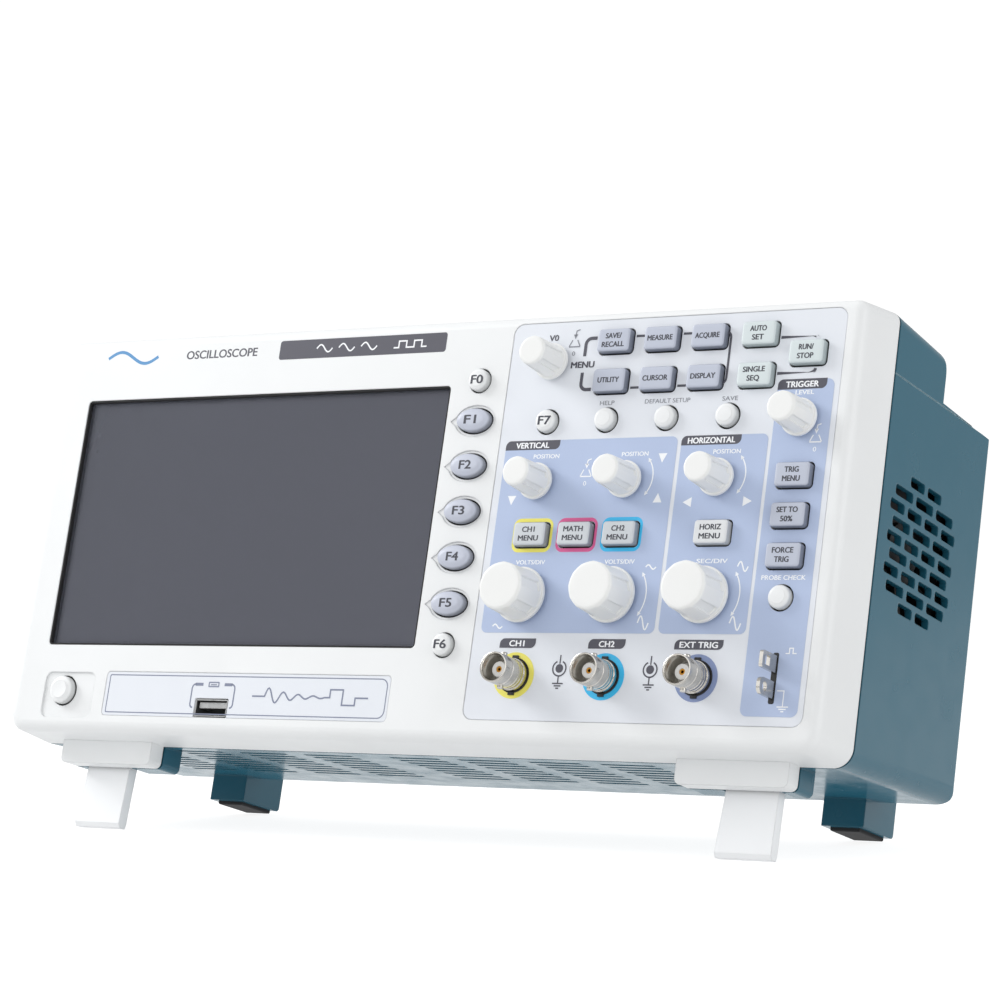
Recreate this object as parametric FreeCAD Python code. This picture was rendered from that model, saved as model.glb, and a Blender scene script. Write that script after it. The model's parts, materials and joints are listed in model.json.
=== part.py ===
import FreeCAD, Part
import math
import os

# Bench digital storage oscilloscope: two input channels, 7-inch landscape display, stepped plastic case.
# Millimetres. While it is modelled, X is right, Y is back from the front face, Z is up from the case floor.
# The exported parts are moved so that the origin is the middle of the underside of the whole box.

V = FreeCAD.Vector

# --- case -------------------------------------------------------------------------------------------------
CASE_W = 313.0
CASE_H = 142.0
REAR_Y = 94.5
SEAM_Y = 19.5
SEAM_GAP = 0.7
LOW_CORNER_R, TOP_CORNER_R = 6.0, 4.0
BEZEL_FLARE = 2.0
BEZEL_FRONT_R = 3.5
FRONT_WALL = 2.6
WALL = 2.4
FLOOR_LIFT, FLOOR_RISE = 1.0, 3.4
DECK_Z, DECK_DROP = 125.0, 2.0
STEP_Y, TOP_DROP = 55.8, 2.0
SIDE_TAPER = 1.6
STEP_R, REAR_LOW_R, REAR_TOP_R, REAR_SIDE_R = 7.5, 3.0, 2.5, 2.5
CREASE_Z, CREASE_TILT, CREASE_SIZE = 122.5, 0.6, 0.3
LIP_T, LIP_GAP, LIP_REACH = 1.2, 0.2, 3.0

# --- front panel ------------------------------------------------------------------------------------------
LCD_X, LCD_Z = -66.5, 74.7
LCD_W, LCD_H = 151.0, 86.5
LCD_R = 1.5
WINDOW_Y, WINDOW_T = 1.6, 1.0
GASKET_T, GASKET_FRONT = 0.6, 0.25
GASKET_GAP = 0.05
LABEL_LEFT, LABEL_RIGHT = 30.5, 149.0
LABEL_BOTTOM, LABEL_TOP = 9.0, 137.5
LABEL_R = 3.5
LABEL_RECESS, LABEL_T, LABEL_GAP = 0.45, 0.35, 0.15
POWER_FRAME = (-140.5, -119.0, 6.5, 22.0)
STRIP_LABEL = (-114.0, 2.0, 7.5, 22.5)
STRIP_RECESS, STRIP_T, STRIP_R = 0.3, 0.25, 1.5
DISH_EXTRA, DISH_DEPTH, DISH_TIP_X = 1.3, 0.3, 10.6

# --- control grid -----------------------------------------------------------------------------------------
COL_CH1, COL_CH2, COL_TIME, COL_TRIG = 47.5, 79.7, 111.9, 137.3
SOFT_X, SOFT_MID_Z, SOFT_PITCH = 20.0, 75.8, 15.0
SOFT_END_Z = 43.3
MENU_ROWS = (130.0, 117.0)
MENU_COLS = (69.2, 86.0, 102.8)
ROUND_ROW = 104.6
ROUND_COLS = (47.5, 69.0, 90.5, 112.0)
CHANNEL_ROW = 67.8
CHANNEL_COLS = (47.5, 63.6, 79.7)
BNC_ROW = 23.2

# --- keys -------------------------------------------------------------------------------------------------
RECT_KEY = (11.6, 7.4)
OVAL_KEY = (12.6, 7.8)
ROUND_KEY_R = 3.65
POWER_KEY_R = 4.7
KEY_GAP = 0.5
KEY_PROUD = 2.4
FLANGE_EXTRA, FLANGE_T = 0.9, 1.0
FLANGE_GAP = 0.15
KEY_POST_R, KEY_POST_END = 1.5, 5.2

# --- knobs ------------------------------------------------------------------------------------------------
KNOB_H = 14.0
KNOB_GAP = 1.2
KNOB_FLANGE_T = 1.3
LARGE_KNOB = (8.8, 8.2, 7.6)
SMALL_KNOB = (5.9, 5.4, 4.8)
KNOB_SHIFT = -0.5
GRIP_GROOVES, GRIP_SHARE = 6, 0.38
SHAFT_R, SHAFT_GAP = 3.0, 0.05
SHAFT_END_Y = 7.0
BUSH_R = 4.4

# --- connectors -------------------------------------------------------------------------------------------
BNC_R, BNC_NECK_R, BNC_BORE_R = 4.8, 4.5, 4.1
BNC_MOUTH_LEN = 4.0
BNC_LEN = 12.0
BNC_COLLAR_R, BNC_COLLAR_LEN = 5.8, 1.8
BNC_LUG_R, BNC_LUG_OUT, BNC_LUG_Y = 1.0, 1.0, -6.6
BNC_DIELECTRIC_R, BNC_DIELECTRIC_Y = 2.45, -8.6
BNC_TAIL_R = 5.6
USB_X, USB_Z = -68.3, 10.8
USB_W, USB_H, USB_DEPTH = 13.1, 5.7, 14.0
TAB_X, TAB_ROWS = 138.0, (27.6, 19.8)
TAB_T, TAB_H, TAB_OUT = 1.2, 5.1, 9.0
TAB_EYE_Y, TAB_EYE_R = -6.0, 1.45
INLET_X, INLET_Z = -108.0, 38.0
INLET_W, INLET_H, INLET_DEPTH = 27.0, 19.5, 17.0
USB_B_X, USB_B_Z = 92.0, 28.0
USB_B_W, USB_B_H = 12.0, 11.0

# --- feet and handle --------------------------------------------------------------------------------------
BLOCK_IN, BLOCK_OUT = 101.0, 139.5
BLOCK_FRONT, BLOCK_REAR, BLOCK_DROP, BLOCK_TOP = 13.0, 29.5, 6.5, 2.6
LEG_X, LEG_TOP_W, LEG_TIP_W, LEG_T = 124.0, 17.6, 19.2, 4.0
LEG_PIVOT_Y, LEG_PIVOT_Z = 23.8, -2.2
LEG_PIN_R, LEG_PIN_LEN = 1.3, 2.0
TIP_Z = -27.1
LEG_LEAN = 2.0
REAR_FOOT_IN, REAR_FOOT_OUT = 114.6, 129.4
REAR_FOOT_FRONT, REAR_FOOT_BACK = 84.3, 105.6
REAR_FOOT_LOW, REAR_FOOT_TOP = -5.1, 16.0
PAD_T, PAD_MARGIN = 1.2, 2.2
HANDLE_HALF, HANDLE_ARM_W = 81.5, 8.0
HANDLE_PIVOT_Y, HANDLE_PIVOT_Z = 61.5, 131.0
HANDLE_REAR, HANDLE_BAR_D, HANDLE_T = 92.0, 12.0, 9.0
HANDLE_PIN_R, HANDLE_PIN_GAP = 2.5, 0.05
EAR_T, EAR_GAP = 5.0, 0.5

# --- vents ------------------------------------------------------------------------------------------------
VENT_Y, VENT_Z = 50.2, 74.2
VENT_PITCH_Z, VENT_SLOT_H = 4.95, 3.3
VENT_SHORT, VENT_LONG, VENT_BRIDGE = 10.2, 12.6, 2.4
VENT_ROWS = (2, 3, 4, 3, 4, 3, 4, 3, 2)
FLOOR_ROWS, FLOOR_ROW_PITCH, FLOOR_FIRST_Y = 9, 5.3, 26.0
FLOOR_SLOT_W, FLOOR_SLOT_D, FLOOR_GAP = 19.0, 2.2, 7.5
FLOOR_GROUPS = ((-78.0, 4), (36.0, 4))
REAR_ROWS, REAR_ROW_PITCH, REAR_FIRST_Z = 8, 5.6, 66.0
REAR_COLUMNS, REAR_COLUMN_PITCH, REAR_SLOT = 6, 25.0, (19.0, 2.4)
PLATE_RECESS = (0.0, 35.0, 70.0, 32.0)
LOCK_SLOT = (120.0, 28.0, 7.0, 3.0)

# --- inside -----------------------------------------------------------------------------------------------
BOARD_Y, BOARD_T = 10.0, 1.6
CHASSIS_Y, CHASSIS_T = 14.0, 1.0
MAIN_Y = 24.0
PANEL_BOARD = (11.5, 142.5, 9.5, 136.0)
POWER_BOARD = (-140.0, -121.0, 7.0, 23.5)
MAIN_BOARD = (-36.0, 128.0, 9.0, 118.0)
SUPPLY_BOARD, SUPPLY_Y = (-144.0, -46.0, 58.0, 116.0), 60.0
PLATE = (-138.0, 138.0, 6.0, 134.0)
PLATE_FLANGE = 16.0
CAN, CAN_H, CAN_T = (38.0, 122.0, 12.0, 56.0), 9.0, 0.6
SINK_X, SINK_Z, SINK_SIZE, SINK_FINS = 30.0, 84.0, 28.0, 7
SWITCH_SIZE, SWITCH_H, SWITCH_BUTTON_R = 6.2, 2.4, 1.7
ENCODER_SIZE, ENCODER_Y = 11.8, 3.6
LCD_PANEL, LCD_TRAY, LCD_DRIVER = (154.0, 90.0), (158.0, 100.0), (90.0, 14.0)
BOSS_X, BOSS_LOW_Z, BOSS_HIGH_Z = 147.0, 10.5, 131.5
BOSS_R, POST_R, SCREW_R, SCREW_HEAD_R = 4.6, 3.6, 1.5, 2.9
BOSS_JOIN_Y, SCREW_HEAD_Y = 32.0, 40.0
FAN_SIZE, FAN_DEPTH, FAN_RIGHT_X = 50.0, 15.0, 151.0
FAN_BORE_R, FAN_BLADE_R, FAN_HUB_R, FAN_BLADES = 23.5, 22.6, 10.0, 7

# Name, x, z and shape of every key on the front panel.
KEYS = [("softkey_f0", SOFT_X, SOFT_MID_Z + SOFT_END_Z, "round")]
for number in range(1, 6):
    KEYS.append((f"softkey_f{number}", SOFT_X, SOFT_MID_Z + (3 - number) * SOFT_PITCH, "oval"))
KEYS.append(("softkey_f6", SOFT_X, SOFT_MID_Z - SOFT_END_Z, "round"))
for name, column in zip(("softkey_f7", "key_help", "key_default_setup", "key_save_usb"), ROUND_COLS):
    KEYS.append((name, column, ROUND_ROW, "round"))
for names, row in ((("key_save_recall", "key_measure", "key_acquire"), MENU_ROWS[0]),
                   (("key_utility", "key_cursor", "key_display"), MENU_ROWS[1])):
    for name, column in zip(names, MENU_COLS):
        KEYS.append((name, column, row, "rect"))
KEYS += [
    ("key_auto_set", 120.4, MENU_ROWS[0], "rect"),
    ("key_single", 120.4, MENU_ROWS[1], "rect"),
    ("key_run_stop", COL_TRIG, 123.4, "rect"),
    ("key_horiz_menu", COL_TIME, CHANNEL_ROW, "rect"),
    ("key_trig_menu", COL_TRIG, 85.2, "rect"),
    ("key_set_half", COL_TRIG, 72.8, "rect"),
    ("key_force_trig", COL_TRIG, 60.4, "rect"),
    ("key_probe_check", COL_TRIG, 47.8, "round"),
]
for name, column in zip(("key_ch1_menu", "key_math_menu", "key_ch2_menu"), CHANNEL_COLS):
    KEYS.append((name, column, CHANNEL_ROW, "rect"))
KEYS.append(("power_button", -132.0, 15.7, "power"))

KNOBS = [
    ("knob_v0", COL_CH1 + KNOB_SHIFT, 124.0, SMALL_KNOB),
    ("knob_ch1_position", COL_CH1 + KNOB_SHIFT, 84.9, SMALL_KNOB),
    ("knob_ch2_position", COL_CH2 + KNOB_SHIFT, 84.9, SMALL_KNOB),
    ("knob_horiz_position", COL_TIME + KNOB_SHIFT, 84.9, SMALL_KNOB),
    ("knob_trig_level", COL_TRIG, 102.9, SMALL_KNOB),
    ("knob_ch1_volts", COL_CH1 + KNOB_SHIFT, 48.4, LARGE_KNOB),
    ("knob_ch2_volts", COL_CH2 + KNOB_SHIFT, 48.4, LARGE_KNOB),
    ("knob_timebase", COL_TIME + KNOB_SHIFT, 48.4, LARGE_KNOB),
]
BNC_COLUMNS = (COL_CH1, COL_CH2, COL_TIME)
BOSSES = [(side * BOSS_X, z) for side in (-1, 1) for z in (BOSS_LOW_Z, BOSS_HIGH_Z)]


# --- shape helpers ----------------------------------------------------------------------------------------
def outline(left, right, bottom, top, radius, y, top_radius=None):
    """Closed rectangle with round corners in the plane at depth y; the upper corners may differ."""
    upper = radius if top_radius is None else top_radius
    corners = ((left + radius, bottom + radius, 180, radius),
               (right - radius, bottom + radius, 270, radius),
               (right - upper, top - upper, 0, upper),
               (left + upper, top - upper, 90, upper))
    edges = []
    last = None
    for x, z, start, bend in corners:
        points = []
        for angle in (start, start + 45, start + 90):
            turn = math.radians(angle)
            points.append(V(x + bend * math.cos(turn), y, z + bend * math.sin(turn)))
        if last is not None:
            edges.append(Part.LineSegment(last, points[0]).toShape())
        edges.append(Part.Arc(*points).toShape())
        last = points[2]
    edges.append(Part.LineSegment(last, edges[0].Vertexes[0].Point).toShape())
    return Part.Wire(edges)


def slab(left, right, bottom, top, radius, y0, y1):
    """Plate with round corners between depths y0 and y1."""
    return Part.Face(outline(left, right, bottom, top, radius, y0)).extrude(V(0, y1 - y0, 0))


def centred_slab(x, z, width, height, radius, y0, y1):
    return slab(x - width / 2, x + width / 2, z - height / 2, z + height / 2, radius, y0, y1)


def oval_prism(x, z, width, height, y0, y1):
    """Elliptic bar along Y."""
    ellipse = Part.Ellipse(V(x, y0, z), width / 2, height / 2)
    ellipse.Axis = V(0, 1, 0)
    ellipse.XAxis = V(1, 0, 0)
    return Part.Face(Part.Wire([ellipse.toShape()])).extrude(V(0, y1 - y0, 0))


def rod(x, z, radius, y0, y1):
    """Round bar along Y."""
    return Part.makeCylinder(radius, y1 - y0, V(x, y0, z), V(0, 1, 0))


def cross_rod(y, z, radius, x0, x1):
    """Round bar along X."""
    return Part.makeCylinder(radius, x1 - x0, V(x0, y, z), V(1, 0, 0))


def block(x0, x1, y0, y1, z0, z1):
    return Part.makeBox(x1 - x0, y1 - y0, z1 - z0, V(x0, y0, z0))


def fused(shapes):
    return shapes[0].multiFuse(shapes[1:]).removeSplitter()


def edges_where(shape, test):
    """Edges whose every vertex passes the test."""
    return [edge for edge in shape.Edges if all(test(vertex.Point) for vertex in edge.Vertexes)]


def polygon_bar(points, length):
    """Straight bar over a closed polygon."""
    return Part.Face(Part.makePolygon(points + points[:1])).extrude(length)


def touches(point, targets):
    return any(point.distanceToPoint(target) < 0.01 for target in targets)


def edges_along(shape, direction):
    """Straight edges parallel to a direction."""
    found = []
    for edge in shape.Edges:
        run = edge.Vertexes[-1].Point - edge.Vertexes[0].Point
        if run.Length > 0.01 and run.cross(direction).Length < 0.001:
            found.append(edge)
    return found


def rounded_bar(corners, start, length):
    """Bar over a polygon of (point, corner radius) pairs."""
    bar = polygon_bar([point + start for point, _ in corners], length)
    for point, radius in corners:
        if radius:
            ends = (point + start, point + start + length)
            bar = bar.makeFillet(radius, edges_where(bar, lambda p: touches(p, ends)))
    return bar


def mirrored(shape):
    return shape.mirror(V(0, 0, 0), V(1, 0, 0))


# --- front bezel ------------------------------------------------------------------------------------------
def bezel_outline(inset, y):
    """The bezel widens a little from its face to the seam."""
    spread = BEZEL_FLARE * (SEAM_Y - y) / SEAM_Y + inset
    half = CASE_W / 2 - spread
    bottom = spread + FLOOR_LIFT * y / SEAM_Y
    tighter = min(inset, 3.0)
    return outline(-half, half, bottom, CASE_H - spread, LOW_CORNER_R - tighter, y, TOP_CORNER_R - tighter)


def bezel_core(inset, y0, y1):
    """Solid between two depths that follows the bezel's flare."""
    return Part.makeLoft([bezel_outline(inset, y0), bezel_outline(inset, y1)], True, True)


def key_hole(kind, x, z, grow, y0, y1):
    """A key's outline, larger by grow all round, between two depths."""
    if kind == "rect":
        width, height = RECT_KEY
        return centred_slab(x, z, width + 2 * grow, height + 2 * grow, 1.1 + grow, y0, y1)
    if kind == "oval":
        width, height = OVAL_KEY
        return oval_prism(x, z, width + 2 * grow, height + 2 * grow, y0, y1)
    radius = ROUND_KEY_R if kind == "round" else POWER_KEY_R
    return rod(x, z, radius + grow, y0, y1)


def panel_openings(grow, y0, y1):
    """Everything that passes through the front wall inside the label, larger by grow."""
    cuts = []
    for _, x, z, kind in KEYS:
        if x > LABEL_LEFT:
            cuts.append(key_hole(kind, x, z, KEY_GAP + grow, y0, y1))
    for _, x, z, _ in KNOBS:
        cuts.append(rod(x, z, BUSH_R + 0.3 + grow, y0, y1))
    for x in BNC_COLUMNS:
        cuts.append(rod(x, BNC_ROW, BNC_COLLAR_R + 0.2 + grow, y0, y1))
    for z in TAB_ROWS:
        cuts.append(centred_slab(TAB_X, z, TAB_T + 0.6 + 2 * grow, TAB_H + 0.6 + 2 * grow, 0.5, y0, y1))
    return cuts


def foot_block(side, y0, y1):
    """One half of the housing that a tilt foot folds into."""
    body = block(BLOCK_IN, BLOCK_OUT, y0, y1, -BLOCK_DROP, BLOCK_TOP)
    low = edges_where(body, lambda p: p.z < 0 and (p.x < BLOCK_IN + 0.1 or p.x > BLOCK_OUT - 0.1))
    body = body.makeFillet(2.0, [edge for edge in low if edge.Vertexes[0].Point.x == edge.Vertexes[1].Point.x
                                 and edge.Vertexes[0].Point.z == edge.Vertexes[1].Point.z])
    return body if side > 0 else mirrored(body)


def softkey_dish(x, z):
    """Shallow recess round a soft key, drawn out to a point towards the display."""
    width, height = OVAL_KEY
    dish = oval_prism(x, z, width + 2 * DISH_EXTRA, height + 2 * DISH_EXTRA, -1, DISH_DEPTH)
    flank = x - width / 2 + 0.6
    corners = [V(DISH_TIP_X, -1, z), V(flank, -1, z - 2.6), V(flank, -1, z + 2.6)]
    return dish.fuse(polygon_bar(corners, V(0, 1 + DISH_DEPTH, 0)))


def front_bezel():
    shell = bezel_core(0, 0, SEAM_Y)
    shell = shell.makeFillet(BEZEL_FRONT_R, edges_where(shell, lambda p: abs(p.y) < 0.01))
    shell = shell.cut(bezel_core(WALL, FRONT_WALL, SEAM_Y + 0.01))
    posts = [rod(x, z, POST_R, FRONT_WALL - 0.4, BOSS_JOIN_Y - 0.2) for x, z in BOSSES]
    blocks = [foot_block(side, BLOCK_FRONT, SEAM_Y) for side in (-1, 1)]
    shell = fused([shell] + posts + blocks)
    cuts = [centred_slab(LCD_X, LCD_Z, LCD_W, LCD_H, LCD_R, -1, FRONT_WALL + 1)]
    cuts.append(slab(LABEL_LEFT, LABEL_RIGHT, LABEL_BOTTOM, LABEL_TOP, LABEL_R, -1, LABEL_RECESS))
    left, right, bottom, top = POWER_FRAME
    cuts.append(slab(left, right, bottom, top, 2.5, -1, 0.6))
    left, right, bottom, top = STRIP_LABEL
    cuts.append(slab(left, right, bottom, top, STRIP_R, -1, STRIP_RECESS))
    for _, x, z, kind in KEYS:
        if x < LABEL_LEFT:
            cuts.append(key_hole(kind, x, z, KEY_GAP, -1, FRONT_WALL + 1))
        if kind == "oval":
            cuts.append(softkey_dish(x, z))
    cuts += panel_openings(0, -1, FRONT_WALL + 1)
    cuts.append(port_hole(0.3, -1, FRONT_WALL + 1))
    cuts += [rod(x, z, SCREW_R + 0.05, BOSS_JOIN_Y - 15, BOSS_JOIN_Y) for x, z in BOSSES]
    return shell.cut(Part.makeCompound(cuts))


def lcd_window():
    """Clear window and the black gasket frame that lines its opening."""
    outer_w, outer_h = LCD_W - 2 * GASKET_GAP, LCD_H - 2 * GASKET_GAP
    inner_w, inner_h = outer_w - 2 * GASKET_T, outer_h - 2 * GASKET_T
    back = WINDOW_Y + WINDOW_T
    gasket = centred_slab(LCD_X, LCD_Z, outer_w, outer_h, LCD_R - GASKET_GAP, GASKET_FRONT, back)
    gasket = gasket.cut(centred_slab(LCD_X, LCD_Z, inner_w, inner_h, 0.6, -1, back + 1))
    width, height = inner_w - 2 * GASKET_GAP, inner_h - 2 * GASKET_GAP
    plate = centred_slab(LCD_X, LCD_Z, width, height, 0.55, WINDOW_Y, back)
    return Part.makeCompound([plate, gasket])


def lcd_module():
    """Display panel, its metal tray and the driver board."""
    panel = centred_slab(LCD_X, LCD_Z, *LCD_PANEL, 0.8, 3.0, 5.0)
    tray = centred_slab(LCD_X, LCD_Z, *LCD_TRAY, 1.5, 5.05, 8.6)
    driver = centred_slab(LCD_X, LCD_Z - 30, *LCD_DRIVER, 1.0, 8.65, 10.2)
    return Part.makeCompound([panel, tray, driver])


def port_hole(grow, y0, y1):
    return centred_slab(USB_X, USB_Z, USB_W + 2 * grow, USB_H + 2 * grow, 0.6, y0, y1)


def control_label():
    """Printed films: the one round the controls and the strip under the display."""
    gap = LABEL_GAP
    sheet = slab(LABEL_LEFT + gap, LABEL_RIGHT - gap, LABEL_BOTTOM + gap, LABEL_TOP - gap, LABEL_R - gap,
                 LABEL_RECESS - LABEL_T, LABEL_RECESS)
    left, right, bottom, top = STRIP_LABEL
    strip = slab(left + gap, right - gap, bottom + gap, top - gap, STRIP_R - gap,
                 STRIP_RECESS - STRIP_T, STRIP_RECESS)
    sheet = sheet.cut(Part.makeCompound(panel_openings(0.1, -1, 1)))
    return Part.makeCompound([sheet, strip.cut(port_hole(0.4, -1, 1))])


# --- keys and knobs ---------------------------------------------------------------------------------------
def key(kind, x, z):
    """A key cap with its retaining flange behind the front wall and a post that presses the switch."""
    cap = key_hole(kind, x, z, 0, -KEY_PROUD, FRONT_WALL + FLANGE_GAP)
    cap = cap.makeFillet(0.7, edges_where(cap, lambda p: abs(p.y + KEY_PROUD) < 0.01))
    flange_y = FRONT_WALL + FLANGE_GAP
    flange = key_hole(kind, x, z, FLANGE_EXTRA, flange_y, flange_y + FLANGE_T)
    post = rod(x, z, KEY_POST_R, flange_y + FLANGE_T, KEY_POST_END)
    return fused([cap, flange, post])


def knob(x, z, radii):
    """A knob cap and the encoder shaft that it is pressed on; the two turn together."""
    flange_r, base_r, top_r = radii
    back = -KNOB_GAP
    face = -KNOB_H
    flange = rod(x, z, flange_r, back - KNOB_FLANGE_T, back)
    grip_len = KNOB_H - KNOB_GAP - KNOB_FLANGE_T
    grip = Part.makeCone(base_r, top_r, grip_len, V(x, back - KNOB_FLANGE_T, z), V(0, -1, 0))
    grip = grip.makeFillet(1.0, edges_where(grip, lambda p: abs(p.y - face) < 0.01))
    cap = fused([flange, grip])
    groove_w = base_r * GRIP_SHARE
    cuts = []
    for number in range(GRIP_GROOVES):
        groove = block(x - groove_w / 2, x + groove_w / 2, face - 1, back - KNOB_FLANGE_T - 1.2,
                       z + top_r - 0.35, z + base_r + 2)
        groove.rotate(V(x, 0, z), V(0, 1, 0), 15 + number * 360 / GRIP_GROOVES)
        cuts.append(groove)
    cuts.append(rod(x, z, SHAFT_R + 0.02, -KNOB_H + 3.0, 1))
    cap = cap.cut(Part.makeCompound(cuts))
    shaft = rod(x, z, SHAFT_R, -KNOB_H + 3.2, SHAFT_END_Y)
    return Part.makeCompound([cap, shaft])


def control_board():
    """Panel board with key switches and rotary encoders, and the small board of the power switch."""
    board = slab(*PANEL_BOARD, 1.0, BOARD_Y, BOARD_Y + BOARD_T)
    holes = [rod(x, BNC_ROW, BNC_TAIL_R + 1.0, BOARD_Y - 1, BOARD_Y + 3) for x in BNC_COLUMNS]
    board = board.cut(Part.makeCompound(holes))
    solids = [board]
    for _, x, z, kind in KEYS:
        base = centred_slab(x, z, SWITCH_SIZE, SWITCH_SIZE, 0.4, BOARD_Y - SWITCH_H, BOARD_Y)
        button = rod(x, z, SWITCH_BUTTON_R, BOARD_Y - SWITCH_H - 1, BOARD_Y - SWITCH_H)
        solids.append(fused([base, button]))
    for _, x, z, _ in KNOBS:
        can = centred_slab(x, z, ENCODER_SIZE, ENCODER_SIZE, 0.6, ENCODER_Y, BOARD_Y)
        bush = rod(x, z, BUSH_R, 0.6, ENCODER_Y)
        body = fused([can, bush])
        solids.append(body.cut(rod(x, z, SHAFT_R + SHAFT_GAP, 0, SHAFT_END_Y + 0.3)))
    solids.append(slab(*POWER_BOARD, 0.8, BOARD_Y, BOARD_Y + BOARD_T))
    return Part.makeCompound(solids)


# --- rear case --------------------------------------------------------------------------------------------
def share_to(y, end):
    """0 at the seam, 1 at the depth end."""
    return (y - SEAM_Y) / (end - SEAM_Y)


def floor_z(y):
    return FLOOR_LIFT + FLOOR_RISE * share_to(y, REAR_Y)


def deck_z(y):
    return DECK_Z - DECK_DROP * share_to(y, REAR_Y)


def top_z(y):
    return CASE_H - TOP_DROP * share_to(y, STEP_Y)


def side_half(y):
    return CASE_W / 2 - SIDE_TAPER * share_to(y, REAR_Y)


def case_envelope(inset, front):
    """The stepped rear case from the depth front: tall behind the bezel, a lower deck at the rear.

    A tapering bar with round corners, trimmed by the side profile and by the plan. The two trimming
    bars stand a hair outside the walls that they only follow.
    """
    tighter = min(inset, 2.0)

    def section(y):
        half = side_half(y) - inset
        low_r, top_r = LOW_CORNER_R - inset, TOP_CORNER_R - inset
        return outline(-half, half, floor_z(y) + inset, top_z(y) - inset, low_r, y, top_r)

    body = Part.makeLoft([section(front), section(REAR_Y + 1)], True, True)
    rear, step, start = REAR_Y - inset, STEP_Y - inset, front - 1
    follow = inset - 0.02
    side = [(V(0, start, floor_z(start) + follow), 0),
            (V(0, rear, floor_z(rear) + follow), REAR_LOW_R - tighter),
            (V(0, rear, deck_z(rear) - inset), REAR_TOP_R - tighter),
            (V(0, step, deck_z(step) - inset), 0),
            (V(0, step, top_z(step) - follow), STEP_R - inset),
            (V(0, start, top_z(start) - follow), 0)]
    body = body.common(rounded_bar(side, V(-CASE_W, 0, 0), V(2 * CASE_W, 0, 0)))
    plan = [(V(-side_half(start) + follow, start, 0), 0),
            (V(side_half(start) - follow, start, 0), 0),
            (V(side_half(rear) - follow, rear, 0), REAR_SIDE_R - tighter),
            (V(-side_half(rear) + follow, rear, 0), REAR_SIDE_R - tighter)]
    return body.common(rounded_bar(plan, V(0, 0, -10), V(0, 0, 2 * CASE_H)))


def crease(side):
    """Fine moulded line along a side wall, level with the deck."""
    depth = CASE_W / 2 - CREASE_SIZE
    start, end = SEAM_Y + SEAM_GAP, REAR_Y - 4
    corners = [V(depth, start, CREASE_Z), V(depth + 4, start, CREASE_Z), V(depth + 4, end, CREASE_Z),
               V(depth - SIDE_TAPER * share_to(end, REAR_Y), end, CREASE_Z)]
    line = polygon_bar(corners, V(0, 0, CREASE_SIZE))
    line.rotate(corners[0], V(1, 0, 0), CREASE_TILT)
    return line if side > 0 else mirrored(line)


def vent_cluster(side):
    """Staggered rows of rounded slots through a side wall, in front of the fan."""
    cuts = []
    for row, count in enumerate(VENT_ROWS):
        z = VENT_Z + (len(VENT_ROWS) // 2 - row) * VENT_PITCH_Z
        length = VENT_LONG if count == 3 else VENT_SHORT
        pitch = length + VENT_BRIDGE
        for number in range(count):
            y = VENT_Y + (number - (count - 1) / 2) * pitch
            slot = block(CASE_W / 2 - 6, CASE_W / 2 + 1, y - length / 2, y + length / 2,
                         z - VENT_SLOT_H / 2, z + VENT_SLOT_H / 2)
            slot = slot.makeFillet(1.0, edges_along(slot, V(1, 0, 0)))
            cuts.append(slot if side > 0 else mirrored(slot))
    return cuts


def floor_vents():
    cuts = []
    for centre, columns in FLOOR_GROUPS:
        for column in range(columns):
            x = centre + (column - (columns - 1) / 2) * (FLOOR_SLOT_W + FLOOR_GAP)
            for row in range(FLOOR_ROWS):
                y = FLOOR_FIRST_Y + row * FLOOR_ROW_PITCH
                half = FLOOR_SLOT_W / 2
                cuts.append(block(x - half, x + half, y, y + FLOOR_SLOT_D, 0, floor_z(y) + WALL + 1))
    return cuts


def rear_vents():
    cuts = []
    for row in range(REAR_ROWS):
        z = REAR_FIRST_Z + row * REAR_ROW_PITCH
        for column in range(REAR_COLUMNS):
            x = (column - (REAR_COLUMNS - 1) / 2) * REAR_COLUMN_PITCH
            cuts.append(centred_slab(x, z, *REAR_SLOT, 1.15, REAR_Y - 6, REAR_Y + 1))
    return cuts


def rear_foot():
    """Block under and behind the lower rear edge; its top slopes away behind the rear face."""
    inside = floor_z(REAR_FOOT_FRONT) + 1.5
    corners = [(V(0, REAR_FOOT_FRONT, REAR_FOOT_LOW), 0), (V(0, REAR_FOOT_BACK, REAR_FOOT_LOW), 1.5),
               (V(0, REAR_FOOT_BACK, REAR_FOOT_TOP - 8), 2.0), (V(0, REAR_Y - 1, REAR_FOOT_TOP), 0),
               (V(0, REAR_Y - 1, inside), 0), (V(0, REAR_FOOT_FRONT, inside), 0)]
    return rounded_bar(corners, V(REAR_FOOT_IN, 0, 0), V(REAR_FOOT_OUT - REAR_FOOT_IN, 0, 0))


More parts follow.
